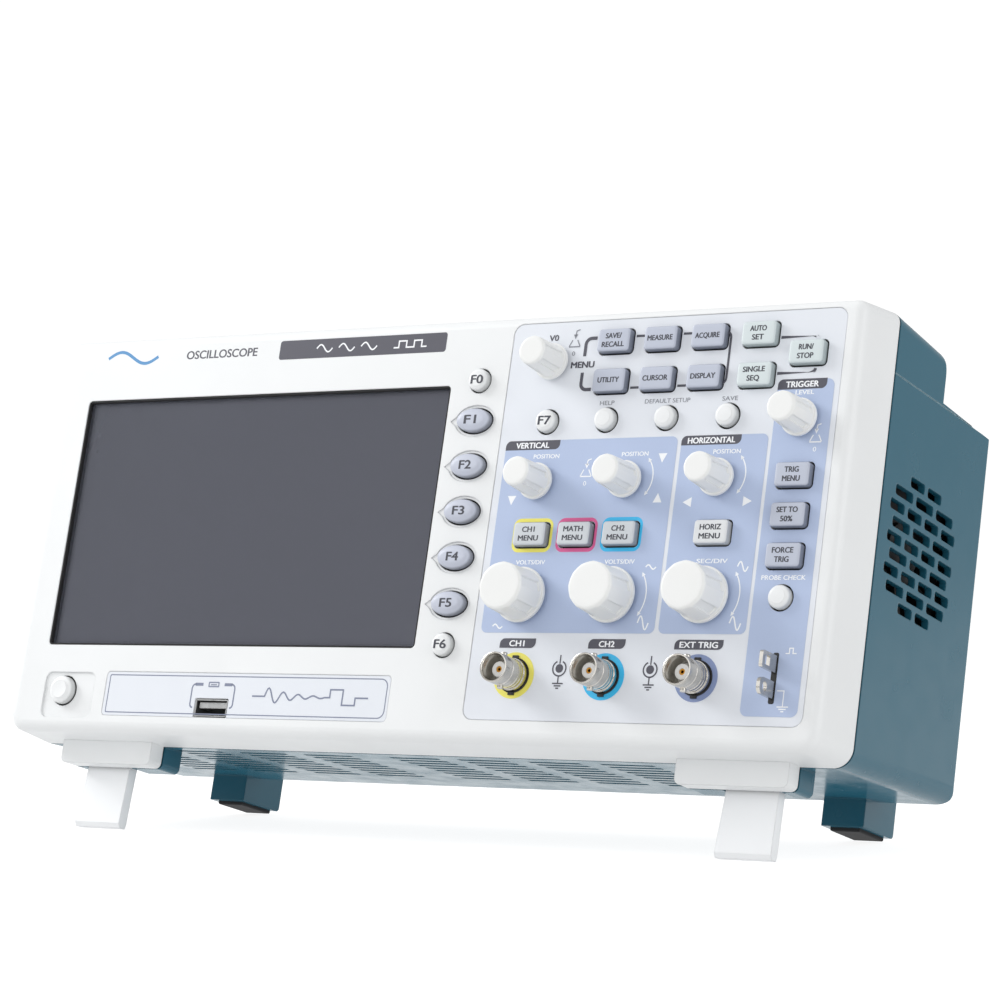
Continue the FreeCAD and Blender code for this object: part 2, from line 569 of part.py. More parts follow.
def rear_case():
    shell = case_envelope(0, SEAM_Y + SEAM_GAP).cut(case_envelope(WALL, SEAM_Y - 0.1))
    lip = bezel_core(WALL + LIP_GAP, SEAM_Y - LIP_REACH, SEAM_Y + 1.5)
    root = bezel_core(WALL - 0.6, SEAM_Y + 1.2, SEAM_Y + 3)
    bore = bezel_core(WALL + LIP_T, SEAM_Y - LIP_REACH - 1, SEAM_Y + 4)
    pieces = [shell, fused([lip, root]).cut(bore)]
    for x, z in BOSSES:
        back = REAR_Y if z < DECK_Z else STEP_Y
        pieces.append(rod(x, z, BOSS_R, BOSS_JOIN_Y, back - 1.0))
    for side in (-1, 1):
        pieces.append(foot_block(side, SEAM_Y + SEAM_GAP, BLOCK_REAR))
        foot = rear_foot()
        pieces.append(foot if side > 0 else mirrored(foot))
        ear_x = HANDLE_HALF + EAR_GAP
        ear = block(ear_x, ear_x + EAR_T, HANDLE_PIVOT_Y - 6, HANDLE_PIVOT_Y + 6, DECK_Z - 2, HANDLE_PIVOT_Z)
        ear = ear.fuse(cross_rod(HANDLE_PIVOT_Y, HANDLE_PIVOT_Z, 6.0, ear_x, ear_x + EAR_T)).removeSplitter()
        pieces.append(ear if side > 0 else mirrored(ear))
    case = fused(pieces)

    cuts = vent_cluster(1) + vent_cluster(-1) + floor_vents() + rear_vents() + [crease(1), crease(-1)]
    for x, z in BOSSES:
        back = REAR_Y if z < DECK_Z else STEP_Y
        cuts.append(rod(x, z, SCREW_R + 0.25, BOSS_JOIN_Y - 1, SCREW_HEAD_Y + 1))
        cuts.append(rod(x, z, SCREW_HEAD_R + 0.5, SCREW_HEAD_Y, back + 1))
    for side in (-1, 1):
        half = LEG_TIP_W / 2 + 0.5
        x0, x1 = side * LEG_X - half, side * LEG_X + half
        cuts.append(block(x0, x1, SEAM_Y - 1, BLOCK_REAR + 1, -BLOCK_DROP - 1, -0.2))
        reach = LEG_TOP_W / 2 + LEG_PIN_LEN + 0.5
        x0, x1 = side * LEG_X - reach, side * LEG_X + reach
        cuts.append(cross_rod(LEG_PIVOT_Y, LEG_PIVOT_Z, LEG_PIN_R + 0.05, x0, x1))
        x0, x1 = HANDLE_HALF - 1, HANDLE_HALF + EAR_T + 2
        pin = cross_rod(HANDLE_PIVOT_Y, HANDLE_PIVOT_Z, HANDLE_PIN_R + HANDLE_PIN_GAP, x0, x1)
        cuts.append(pin if side > 0 else mirrored(pin))
    cuts.append(centred_slab(INLET_X, INLET_Z, INLET_W + 0.4, INLET_H + 0.4, 2.0, REAR_Y - 6, REAR_Y + 1))
    cuts.append(centred_slab(USB_B_X, USB_B_Z, USB_B_W + 0.5, USB_B_H + 0.5, 0.5, REAR_Y - 6, REAR_Y + 1))
    cuts.append(centred_slab(*LOCK_SLOT, 1.2, REAR_Y - 6, REAR_Y + 1))
    cuts.append(centred_slab(*PLATE_RECESS, 1.5, REAR_Y - 0.4, REAR_Y + 1))
    return case.cut(Part.makeCompound(cuts))


def foot_pads():
    pads = []
    for side in (-1, 1):
        pad = block(REAR_FOOT_IN + PAD_MARGIN, REAR_FOOT_OUT - PAD_MARGIN, REAR_FOOT_FRONT + PAD_MARGIN,
                    REAR_FOOT_BACK - PAD_MARGIN, REAR_FOOT_LOW - PAD_T, REAR_FOOT_LOW)
        pad = pad.makeFillet(0.5, edges_where(pad, lambda p: p.z < REAR_FOOT_LOW - PAD_T / 2))
        pads.append(pad if side > 0 else mirrored(pad))
    return Part.makeCompound(pads)


def tilt_foot(side):
    """Fold-out leg, shown open; two stub pins turn in the cheeks of its block."""
    x = side * LEG_X
    front = LEG_PIVOT_Y - LEG_T + 0.8
    tip = front - LEG_LEAN
    back = front + LEG_T
    profile = [(front, LEG_PIVOT_Z - 3.4), (tip, TIP_Z + 1.5), (tip + 1.0, TIP_Z),
               (tip + LEG_T - 0.6, TIP_Z), (tip + LEG_T, TIP_Z + 1.5),
               (back, LEG_PIVOT_Z - 1.5), (back, LEG_PIVOT_Z + 1.2), (front, LEG_PIVOT_Z + 1.2)]
    leg = polygon_bar([V(x - LEG_TIP_W / 2, y, z) for y, z in profile], V(LEG_TIP_W, 0, 0))
    for edge_side in (-1, 1):
        slope = (LEG_TIP_W - LEG_TOP_W) / 2
        outer = x + edge_side * LEG_TIP_W / 2
        wedge = [V(outer + edge_side, 0, TIP_Z), V(outer, 0, TIP_Z), V(outer - edge_side * slope, 0, 2),
                 V(outer + edge_side, 0, 2)]
        leg = leg.cut(polygon_bar(wedge, V(0, 40, 0)))
    pin_x = LEG_TOP_W / 2 + LEG_PIN_LEN
    return fused([leg, cross_rod(LEG_PIVOT_Y, LEG_PIVOT_Z, LEG_PIN_R, x - pin_x, x + pin_x)])


def carry_handle():
    """U-shaped handle, folded flat over the rear deck; stub pins turn in the two ears."""
    front = HANDLE_PIVOT_Y - HANDLE_T / 2
    z0, z1 = HANDLE_PIVOT_Z - HANDLE_T / 2, HANDLE_PIVOT_Z + HANDLE_T / 2
    body = block(-HANDLE_HALF, HANDLE_HALF, front, HANDLE_REAR, z0, z1)
    corners = edges_where(body, lambda p: p.y > HANDLE_REAR - 0.1)
    body = body.makeFillet(3.0, corners)
    inner = HANDLE_HALF - HANDLE_ARM_W
    window = block(-inner, inner, front - 1, HANDLE_REAR - HANDLE_BAR_D, z0 - 1, z1 + 1)
    upright = [edge for edge in edges_along(window, V(0, 0, 1)) if edge.Vertexes[0].Point.y > front]
    body = body.cut(window.makeFillet(4.0, upright))
    ends = [edge for edge in edges_along(body, V(1, 0, 0)) if edge.Vertexes[0].Point.y < front + 0.1]
    body = body.makeFillet(3.6, ends)
    pins = [cross_rod(HANDLE_PIVOT_Y, HANDLE_PIVOT_Z, HANDLE_PIN_R, start, start + EAR_T + 1)
            for start in (HANDLE_HALF - 0.6, -HANDLE_HALF - EAR_T - 0.4)]
    return fused([body] + pins)


# --- connectors -------------------------------------------------------------------------------------------
def bnc_sockets():
    """Three bayonet coaxial sockets: metal shell, insulator and centre contact each."""
    solids = []
    for x in BNC_COLUMNS:
        shell = fused([
            rod(x, BNC_ROW, BNC_R, -BNC_LEN, -BNC_LEN + BNC_MOUTH_LEN),
            rod(x, BNC_ROW, BNC_NECK_R, -BNC_LEN + 1, 0),
            rod(x, BNC_ROW, BNC_COLLAR_R, -BNC_COLLAR_LEN, FRONT_WALL + 0.6),
            rod(x, BNC_ROW, BNC_TAIL_R, FRONT_WALL + 0.6, MAIN_Y),
            Part.makeCylinder(BNC_LUG_R, 2 * (BNC_R + BNC_LUG_OUT),
                              V(x, BNC_LUG_Y, BNC_ROW - BNC_R - BNC_LUG_OUT), V(0, 0, 1)),
        ])
        shell = shell.cut(rod(x, BNC_ROW, BNC_BORE_R, -BNC_LEN - 1, 1))
        insulator = rod(x, BNC_ROW, BNC_DIELECTRIC_R, BNC_DIELECTRIC_Y, 1)
        contact = rod(x, BNC_ROW, 1.0, BNC_DIELECTRIC_Y + 0.2, 0.5)
        contact = contact.cut(rod(x, BNC_ROW, 0.45, BNC_DIELECTRIC_Y, -2))
        insulator = insulator.cut(rod(x, BNC_ROW, 1.0, BNC_DIELECTRIC_Y - 1, 0.5))
        solids += [shell, insulator, contact]
    return Part.makeCompound(solids)


def usb_host_port():
    """Shell, tongue and board of the USB port in the front."""
    can = centred_slab(USB_X, USB_Z, USB_W, USB_H, 0.4, 0.3, USB_DEPTH)
    can = can.cut(centred_slab(USB_X, USB_Z, USB_W - 0.7, USB_H - 0.7, 0.2, -1, USB_DEPTH - 1.5))
    tongue = centred_slab(USB_X, USB_Z + 1.05, 11.0, 1.9, 0.2, 1.2, USB_DEPTH - 1.5)
    board = slab(-85.0, -52.0, 5.1, 7.8, 0.5, 4.0, 22.0)
    return Part.makeCompound([can, tongue, board])


def probe_terminals():
    """Two flat blades with an eye each, where a test probe hooks on."""
    solids = []
    left, right = TAB_X - TAB_T / 2, TAB_X + TAB_T / 2
    for z in TAB_ROWS:
        square = z == TAB_ROWS[0]
        blade = block(left, right, -TAB_OUT, BOARD_Y - 0.1, z - TAB_H / 2, z + TAB_H / 2)
        tip = [edge for edge in edges_along(blade, V(1, 0, 0)) if edge.Vertexes[0].Point.y < 0]
        blade = blade.makeFillet(0.8 if square else 2.0, tip)
        eye = cross_rod(TAB_EYE_Y, z, TAB_EYE_R, left - 1, right + 1)
        if square:
            front, back = TAB_EYE_Y - TAB_EYE_R, TAB_EYE_Y + TAB_EYE_R
            eye = block(left - 1, right + 1, front, back, z - TAB_EYE_R, z + TAB_EYE_R)
        solids.append(blade.cut(eye))
    return Part.makeCompound(solids)


def power_inlet():
    """Three-pole mains inlet in the rear face."""
    front = REAR_Y - INLET_DEPTH
    inside = REAR_Y - WALL - 0.1
    flange = centred_slab(INLET_X, INLET_Z, INLET_W + 4, INLET_H + 4, 3.0, inside - 1.5, inside)
    body = centred_slab(INLET_X, INLET_Z, INLET_W, INLET_H, 1.8, front, REAR_Y)
    body = fused([body, flange])
    body = body.cut(centred_slab(INLET_X, INLET_Z, INLET_W - 3, INLET_H - 3.5, 2.5, front + 3, REAR_Y + 1))
    pins = [centred_slab(INLET_X + dx, INLET_Z + dz, 2.0, 4.0, 0.4, front + 3, REAR_Y - 2)
            for dx, dz in ((-7, -1.6), (0, 1.9), (7, -1.6))]
    return Part.makeCompound([body] + pins)


def usb_device_port():
    can = centred_slab(USB_B_X, USB_B_Z, USB_B_W, USB_B_H, 0.4, REAR_Y - 16, REAR_Y - 0.2)
    can = can.cut(centred_slab(USB_B_X, USB_B_Z, USB_B_W - 1.6, USB_B_H - 1.6, 0.8, REAR_Y - 13, REAR_Y + 1))
    core = centred_slab(USB_B_X, USB_B_Z, 5.6, 3.2, 0.3, REAR_Y - 13, REAR_Y - 3)
    return Part.makeCompound([can, core])


# --- inside -----------------------------------------------------------------------------------------------
def chassis():
    """Folded sheet-metal frame between the panel boards and the main board."""
    left, right, bottom, top = PLATE
    plate = slab(left, right, bottom, top, 2.0, CHASSIS_Y, CHASSIS_Y + CHASSIS_T)
    flanges = [block(left, right, CHASSIS_Y, CHASSIS_Y + PLATE_FLANGE, z, z + CHASSIS_T)
               for z in (bottom, top - CHASSIS_T)]
    plate = fused([plate] + flanges)
    cuts = [rod(x, BNC_ROW, BNC_TAIL_R + 1.0, CHASSIS_Y - 1, CHASSIS_Y + 2) for x in BNC_COLUMNS]
    cuts.append(centred_slab(LCD_X, LCD_Z, 96.0, 50.0, 3.0, CHASSIS_Y - 1, CHASSIS_Y + 2))
    cuts.append(centred_slab(90.0, 120.0, 44.0, 10.0, 1.0, CHASSIS_Y - 1, CHASSIS_Y + 2))
    cuts.append(slab(-87.0, -50.0, 2.0, 16.0, 0.5, CHASSIS_Y - 1, CHASSIS_Y + 20))
    return plate.cut(Part.makeCompound(cuts))


def main_board():
    """Main board with its processors, converters, memory and heat sink as separate solids."""
    front = MAIN_Y + 0.1
    back = front + BOARD_T
    board = slab(*MAIN_BOARD, 1.5, front, back)
    chips = ((-10, 60, 23, 23, 2.0), (30, 84, 27, 27, 2.2), (66, 90, 14, 20, 1.4), (88, 90, 14, 20, 1.4),
             (8, 98, 10, 10, 1.2), (-22, 96, 12, 16, 3.0), (-22, 24, 10, 14, 8.0), (0, 24, 14, 10, 6.0))
    solids = [board]
    solids += [centred_slab(x, z, w, h, 0.3, back, back + t) for x, z, w, h, t in chips]
    sink_y = back + 2.3
    fins = [centred_slab(SINK_X, SINK_Z, SINK_SIZE, SINK_SIZE, 0.5, sink_y, sink_y + 2.5)]
    for number in range(SINK_FINS):
        x = SINK_X + 4 * (number - (SINK_FINS - 1) / 2)
        fins.append(block(x - 0.75, x + 0.75, sink_y + 2, sink_y + 11, SINK_Z - 13, SINK_Z + 13))
    solids.append(fused(fins))
    return Part.makeCompound(solids)


def rf_shield():
    """Pressed can over the analogue front end."""
    y0 = MAIN_Y + 0.2 + BOARD_T
    left, right, bottom, top = CAN
    can = slab(left, right, bottom, top, 2.0, y0, y0 + CAN_H)
    hollow = slab(left + CAN_T, right - CAN_T, bottom + CAN_T, top - CAN_T, 2.0 - CAN_T,
                  y0 - 1, y0 + CAN_H - CAN_T)
    return can.cut(hollow)


def power_supply_board():
    """Supply board with its transformer, coils and capacitors."""
    top = SUPPLY_Y + BOARD_T
    board = slab(*SUPPLY_BOARD, 1.5, SUPPLY_Y, top)
    coils = ((-96, 90, 30, 28, 22), (-62, 76, 16, 12, 14), (-62, 102, 20, 14, 12))
    parts = [centred_slab(x, z, w, h, 1.0, top, top + depth) for x, z, w, h, depth in coils]
    cans = ((-128, 84, 9.0, 24), (-128, 104, 5, 18), (-72, 90, 4, 14))
    caps = [rod(x, z, radius, top, top + depth) for x, z, radius, depth in cans]
    return Part.makeCompound([board] + parts + caps)


def fan_frame():
    """Square fan housing against the right-hand side wall, with its motor mount and three struts."""
    left = FAN_RIGHT_X - FAN_DEPTH
    half = FAN_SIZE / 2
    frame = block(left, FAN_RIGHT_X, VENT_Y - half, VENT_Y + half, VENT_Z - half, VENT_Z + half)
    frame = frame.cut(cross_rod(VENT_Y, VENT_Z, FAN_BORE_R, left - 1, FAN_RIGHT_X + 1))
    mount = [cross_rod(VENT_Y, VENT_Z, FAN_HUB_R, left, left + 1.5)]
    for angle in (90, 210, 330):
        inner, outer = VENT_Z + FAN_HUB_R - 1, VENT_Z + FAN_BORE_R + 1
        strut = block(left, left + 1.5, VENT_Y - 1.2, VENT_Y + 1.2, inner, outer)
        strut.rotate(V(0, VENT_Y, VENT_Z), V(1, 0, 0), angle)
        mount.append(strut)
    frame = fused([frame] + mount)
    holes = [cross_rod(VENT_Y + dy * 20, VENT_Z + dz * 20, 2.1, left - 1, FAN_RIGHT_X + 1)
             for dy in (-1, 1) for dz in (-1, 1)]
    holes.append(cross_rod(VENT_Y, VENT_Z, 1.55, left - 1, left + 3))
    return frame.cut(Part.makeCompound(holes))


def fan_rotor():
    left = FAN_RIGHT_X - FAN_DEPTH
    pieces = [cross_rod(VENT_Y, VENT_Z, FAN_HUB_R - 0.3, left + 2.0, FAN_RIGHT_X - 1.0),
              cross_rod(VENT_Y, VENT_Z, 1.5, left + 0.2, left + 3)]
    middle = left + FAN_DEPTH / 2 + 0.5
    for number in range(FAN_BLADES):
        blade = block(middle - 5.5, middle + 5.5, VENT_Y - 0.6, VENT_Y + 0.6,
                      VENT_Z + FAN_HUB_R - 2, VENT_Z + FAN_BLADE_R - 0.8)
        blade.rotate(V(middle, VENT_Y, VENT_Z), V(0, 0, 1), 38)
        blade.rotate(V(middle, VENT_Y, VENT_Z), V(1, 0, 0), number * 360 / FAN_BLADES)
        pieces.append(blade)
    return fused(pieces)


def wiring_harness():
    """Ribbon to the panel board, display lead, mains lead, supply lead and fan lead."""
    front, back = BOARD_Y + BOARD_T + 0.1, MAIN_Y - 0.1
    ribbon = fused([block(76.0, 104.0, front, back, 119.5, 120.3),
                    block(76.0, 104.0, back - 0.8, back, 108.0, 120.3)])
    behind = MAIN_Y + 3
    display = fused([block(-60.0, -38.0, 10.4, behind, 66.0, 66.6),
                     block(-38.0, -30.0, behind - 0.6, behind, 66.0, 66.6)])
    mains = fused([cross_rod(70.0, 44.0, 2.2, -140.0, INLET_X),
                   Part.makeCylinder(2.2, 12, V(-138, 70.0, 44.0))])
    supply = fused([block(-44.0, -41.0, 61.0, 63.0, 60.0, 90.0),
                    block(-44.0, -41.0, 40.0, 63.0, 60.0, 62.0)])
    lead = fused([block(131.0, 133.0, 38.0, 40.0, 60.0, 104.0),
                  block(110.0, 133.0, 38.0, 40.0, 102.0, 104.0)])
    return Part.makeCompound([ribbon, display, mains, supply, lead])


def case_screws():
    screws = []
    for x, z in BOSSES:
        head = rod(x, z, SCREW_HEAD_R, SCREW_HEAD_Y, SCREW_HEAD_Y + 2.2)
        for width, height in ((4.0, 0.7), (0.7, 4.0)):
            head = head.cut(centred_slab(x, z, width, height, 0.1, SCREW_HEAD_Y + 1, SCREW_HEAD_Y + 3))
        screws.append(fused([head, rod(x, z, SCREW_R, BOSS_JOIN_Y - 14, SCREW_HEAD_Y)]))
    return Part.makeCompound(screws)


def build():
    parts = {
        "front_bezel": front_bezel(),
        "rear_case": rear_case(),
        "lcd_window": lcd_window(),
        "lcd_module": lcd_module(),
        "control_label": control_label(),
        "control_board": control_board(),
        "main_board": main_board(),
        "rf_shield": rf_shield(),
        "chassis": chassis(),
        "bnc_sockets": bnc_sockets(),
        "usb_host_port": usb_host_port(),
        "usb_device_port": usb_device_port(),
        "probe_terminals": probe_terminals(),
        "power_supply_board": power_supply_board(),
        "power_inlet": power_inlet(),
        "fan_frame": fan_frame(),
        "fan_rotor": fan_rotor(),
        "wiring_harness": wiring_harness(),
        "foot_pads": foot_pads(),
        "case_screws": case_screws(),
        "tilt_foot_left": tilt_foot(-1),
        "tilt_foot_right": tilt_foot(1),
        "carry_handle": carry_handle(),
    }
    for name, x, z, kind in KEYS:
        parts[name] = key(kind, x, z)
    for name, x, z, radii in KNOBS:
        parts[name] = knob(x, z, radii)
    return parts


ORIGIN = V(0, (REAR_FOOT_BACK - KNOB_H) / 2, TIP_Z)

if __name__ == "__main__":
    os.makedirs("parts", exist_ok=True)
    for part_name, shape in build().items():
        shape.translate(ORIGIN * -1)
        shape.exportStep(f"parts/{part_name}.step")
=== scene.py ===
import json
import math

import bmesh
import bpy
from mathutils import Matrix, Vector


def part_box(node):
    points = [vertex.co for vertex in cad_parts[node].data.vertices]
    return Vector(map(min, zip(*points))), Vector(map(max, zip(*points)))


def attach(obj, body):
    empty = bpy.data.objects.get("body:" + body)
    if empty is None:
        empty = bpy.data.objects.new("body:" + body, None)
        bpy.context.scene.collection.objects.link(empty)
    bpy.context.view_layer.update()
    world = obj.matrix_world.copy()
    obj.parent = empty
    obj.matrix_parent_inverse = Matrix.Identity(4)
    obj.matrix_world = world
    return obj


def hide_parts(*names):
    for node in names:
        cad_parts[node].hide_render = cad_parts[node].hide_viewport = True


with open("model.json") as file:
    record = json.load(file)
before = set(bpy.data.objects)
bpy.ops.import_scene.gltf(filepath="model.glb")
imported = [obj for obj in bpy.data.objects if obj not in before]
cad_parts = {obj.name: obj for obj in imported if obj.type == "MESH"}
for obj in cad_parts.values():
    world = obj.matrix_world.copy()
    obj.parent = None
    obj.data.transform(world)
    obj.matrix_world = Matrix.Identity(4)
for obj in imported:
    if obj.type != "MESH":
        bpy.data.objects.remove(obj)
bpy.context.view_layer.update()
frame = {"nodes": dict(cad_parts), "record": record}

# Panel coordinates are millimetres: x from the middle of the case, depth back from the front face, z up
# from the case floor. TO_FRAME turns them into the frame's metres.
MM = 0.001
# The foot housings of the bezel hang this far below the case floor.
BLOCK_DROP = 6.5
FACE_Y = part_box("front_bezel")[0].y
FLOOR_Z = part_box("front_bezel")[0].z + BLOCK_DROP * MM
TO_FRAME = Matrix.Translation((0, FACE_Y, FLOOR_Z)) @ Matrix.Scale(MM, 4)
FROM_FRAME = TO_FRAME.inverted()


def panel_box(node):
    low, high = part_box(node)
    return FROM_FRAME @ low, FROM_FRAME @ high


def centre(node):
    low, high = panel_box(node)
    return (low.x + high.x) / 2, (low.z + high.z) / 2


LABEL_LOW, LABEL_HIGH = panel_box("control_label")
FILM_FRONT = LABEL_LOW.y
KEY_PROUD = -panel_box("key_help")[0].y
KNOB_FRONT = panel_box("knob_timebase")[0].y
CHANNEL_X = (47.5, 79.7, 111.9)
TRIGGER_X = 137.3
POSITION_Z, SCALE_Z, LEVEL_Z = 86.0, 49.0, 104.0
BNC_Z = 23.2
TERMINAL_Z = (27.6, 19.8)


# --- node helpers ---
def srgb(code):
    """Linear colour of a #rrggbb code."""
    channels = [int(code[i:i + 2], 16) / 255 for i in (1, 3, 5)]
    return [c / 12.92 if c <= 0.04045 else ((c + 0.055) / 1.055) ** 2.4 for c in channels] + [1.0]


def node(tree, kind, inputs=None, **settings):
    """New shader node; an input named or numbered in inputs takes a value or a link from a socket."""
    made = tree.nodes.new("ShaderNode" + kind)
    for key, value in settings.items():
        setattr(made, key, value)
    for key, value in (inputs or {}).items():
        if isinstance(value, bpy.types.NodeSocket):
            tree.links.new(value, made.inputs[key])
        else:
            made.inputs[key].default_value = value
    return made


def new_material(name):
    material = bpy.data.materials.new(name)
    material.use_nodes = True
    return material, material.node_tree, material.node_tree.nodes["Principled BSDF"]


def join(tree, source, target, name):
    tree.links.new(source, target.inputs[name])


def position(tree):
    return node(tree, "TexCoord").outputs["Object"]


def noise(tree, size_mm, detail=2.0, vector=None):
    return node(tree, "TexNoise", {"Vector": vector or position(tree), "Scale": 1 / (size_mm * MM),
                                   "Detail": detail}).outputs["Fac"]


def remap(tree, value, low, high, start=0.0, end=1.0):
    return node(tree, "MapRange", {"Value": value, "From Min": start, "From Max": end,
                                   "To Min": low, "To Max": high}).outputs["Result"]


MIX_FACTOR, MIX_FIRST_COLOUR, MIX_SECOND_COLOUR, MIX_RESULT_COLOUR = 0, 6, 7, 2


def blend_colour(tree, factor, first, second):
    inputs = {MIX_FACTOR: factor, MIX_FIRST_COLOUR: first, MIX_SECOND_COLOUR: second}
    return node(tree, "Mix", inputs, data_type="RGBA").outputs[MIX_RESULT_COLOUR]


def scaled(colour, factor):
    return [min(c * factor, 1.0) for c in colour[:3]] + [1.0]


def arithmetic(tree, operation, first, second=0.0):
    return node(tree, "Math", {0: first, 1: second}, operation=operation).outputs[0]


def separate(tree, vector):
    return node(tree, "SeparateXYZ", {"Vector": vector}).outputs


def depth_of(tree):
    return separate(tree, position(tree))[1]


def base_colour(material):
    """Node tree and shader of a finished material, with the socket that gives its colour."""
    tree = material.node_tree
    bsdf = tree.nodes["Principled BSDF"]
    return tree, bsdf, bsdf.inputs["Base Color"].links[0].from_socket


def relief(tree, bsdf, height, distance_mm, strength, **inputs):
    """Surface relief of a shader from a height value."""
    inputs = {"Height": height, "Distance": distance_mm * MM, "Strength": strength, **inputs}
    join(tree, node(tree, "Bump", inputs).outputs["Normal"], bsdf, "Normal")


def mix_surface(tree, share, first, second):
    """Surface that mixes two shaders by a share."""
    shader = node(tree, "MixShader", {0: share, 1: first.outputs[0], 2: second.outputs[0]})
    join(tree, shader.outputs[0], tree.nodes["Material Output"], "Surface")


# Painted highlight along the crease on the side walls: depth and height of its start, slope, half width, and
# the least distance from the middle of the case.
CREASE_HIGHLIGHT_START, CREASE_HIGHLIGHT_SLOPE, CREASE_HIGHLIGHT_HALF, CREASE_HIGHLIGHT_X = Vector((20.2, 122.65)), 0.01047, 0.24, 153.0

# Depths where a colour ends: the panel face in front of its tray, and the two ends of the painted shade,
# black, inside a key's opening.
TRAY_DEPTH = 5.02
SHADE_START, SHADE_END = 0.2, 0.9


# --- materials ---
def plastic(name, code, roughness=0.42, grain=0.35, depth=0.010, mottle=0.03, rim=0.35, wear=0.10,
            specular=0.5):
    """Moulded plastic: spark-eroded grain, faint flow mottling, edges slightly rounded and rubbed bright."""
    material, tree, bsdf = new_material(name)
    colour = srgb(code)
    rounded = node(tree, "Bevel", {"Radius": rim * MM}, samples=3).outputs["Normal"]
    true_normal = node(tree, "NewGeometry").outputs["Normal"]
    facing = node(tree, "VectorMath", {0: rounded, 1: true_normal}, operation="DOT_PRODUCT")
    edge = remap(tree, facing.outputs["Value"], wear, 0.0, 0.75, 0.99)
    broad = noise(tree, 28.0)
    tone = blend_colour(tree, broad, scaled(colour, 1 - mottle), scaled(colour, 1 + mottle))
    tone = blend_colour(tree, edge, tone, scaled(colour, 1.35))
    join(tree, tone, bsdf, "Base Color")
    smudge = remap(tree, noise(tree, 9.0, 3.0), roughness - 0.05, roughness + 0.06, 0.3, 0.7)
    join(tree, smudge, bsdf, "Roughness")
    relief(tree, bsdf, noise(tree, grain, 3.0), depth, 0.6, Normal=rounded)
    bsdf.inputs["Specular IOR Level"].default_value = specular
    return material


def ink(name, code, roughness=0.45):
    """Screen-printed ink: nearly flat, with a faint mesh of screen dots and an uneven gloss."""
    material, tree, bsdf = new_material(name)
    colour = srgb(code)
    dots = node(tree, "TexVoronoi", {"Vector": position(tree), "Scale": 1 / (0.18 * MM)}).outputs["Distance"]
    join(tree, blend_colour(tree, dots, scaled(colour, 1.02), scaled(colour, 0.97)), bsdf, "Base Color")
    join(tree, remap(tree, noise(tree, 3.0), roughness - 0.06, roughness + 0.06), bsdf, "Roughness")
    relief(tree, bsdf, dots, 0.004, 0.4)
    return material


def turned_metal(name, code, roughness=0.24, ring=0.12):
    """Plated metal turned on a lathe: fine tool rings along the depth axis and a little tarnish."""
    material, tree, bsdf = new_material(name)
    colour = srgb(code)
    along = node(tree, "CombineXYZ", {"Y": depth_of(tree)}).outputs["Vector"]
    rings = noise(tree, ring, 3.0, along)
    tarnish = remap(tree, noise(tree, 2.2, 4.0), 0.0, 1.0, 0.35, 0.75)
    join(tree, blend_colour(tree, tarnish, colour, scaled(colour, 0.82)), bsdf, "Base Color")
    join(tree, remap(tree, rings, roughness - 0.06, roughness + 0.10), bsdf, "Roughness")
    relief(tree, bsdf, rings, 0.006, 0.5)
    bsdf.inputs["Metallic"].default_value = 1.0
    return material


def sheet_metal(name, code, roughness=0.36):
    """Zinc-plated sheet: brushed streaks and soft crystalline patches."""
    material, tree, bsdf = new_material(name)
    colour = srgb(code)
    brushed = node(tree, "Mapping", {"Vector": position(tree), "Scale": (1.0, 12.0, 12.0)})
    streaks = noise(tree, 1.8, 4.0, brushed.outputs["Vector"])
    patches = node(tree, "TexVoronoi", {"Vector": position(tree), "Scale": 1 / (4.0 * MM)}).outputs["Color"]
    shade = separate(tree, patches)[0]
    join(tree, blend_colour(tree, shade, scaled(colour, 0.9), scaled(colour, 1.06)), bsdf, "Base Color")
    join(tree, remap(tree, streaks, roughness - 0.08, roughness + 0.12), bsdf, "Roughness")
    relief(tree, bsdf, streaks, 0.008, 0.35)
    bsdf.inputs["Metallic"].default_value = 1.0
    return material


def rubber(name, code):
    """Matt rubber or cable jacket with a dusty bloom."""
    material, tree, bsdf = new_material(name)
    colour = srgb(code)
    dust = remap(tree, noise(tree, 6.0, 4.0), 0.0, 1.0, 0.45, 0.8)
    join(tree, blend_colour(tree, dust, colour, scaled(colour, 1.9)), bsdf, "Base Color")
    bsdf.inputs["Roughness"].default_value = 0.78
    relief(tree, bsdf, noise(tree, 0.5, 3.0), 0.03, 0.7)
    return material


def circuit_board(name, limit_mm, parts_behind):
    """Green solder mask with copper tracks and pads; past the limit depth, the black of moulded parts."""
    material, tree, bsdf = new_material(name)
    where = position(tree)
    mask, track, pad, black = srgb("#12432c"), srgb("#1d6140"), srgb("#c9b27a"), srgb("#16171a")
    flat = node(tree, "Mapping", {"Vector": where, "Rotation": (math.radians(90), 0, 0)}).outputs["Vector"]
    bricks = node(tree, "TexBrick", {"Vector": flat, "Scale": 120.0, "Mortar Size": 0.012, "Color1": mask,
                                     "Color2": mask, "Mortar": track})
    pads = node(tree, "TexVoronoi", {"Vector": where, "Scale": 1 / (3.4 * MM)}).outputs["Distance"]
    board = blend_colour(tree, remap(tree, pads, 1.0, 0.0, 0.10, 0.13), bricks.outputs["Color"], pad)
    depth = separate(tree, where)[1]
    limit = FACE_Y + limit_mm * MM
    behind = arithmetic(tree, "GREATER_THAN" if parts_behind else "LESS_THAN", depth, limit)
    join(tree, blend_colour(tree, behind, board, black), bsdf, "Base Color")
    join(tree, remap(tree, noise(tree, 2.0), 0.28, 0.45), bsdf, "Roughness")
    return material


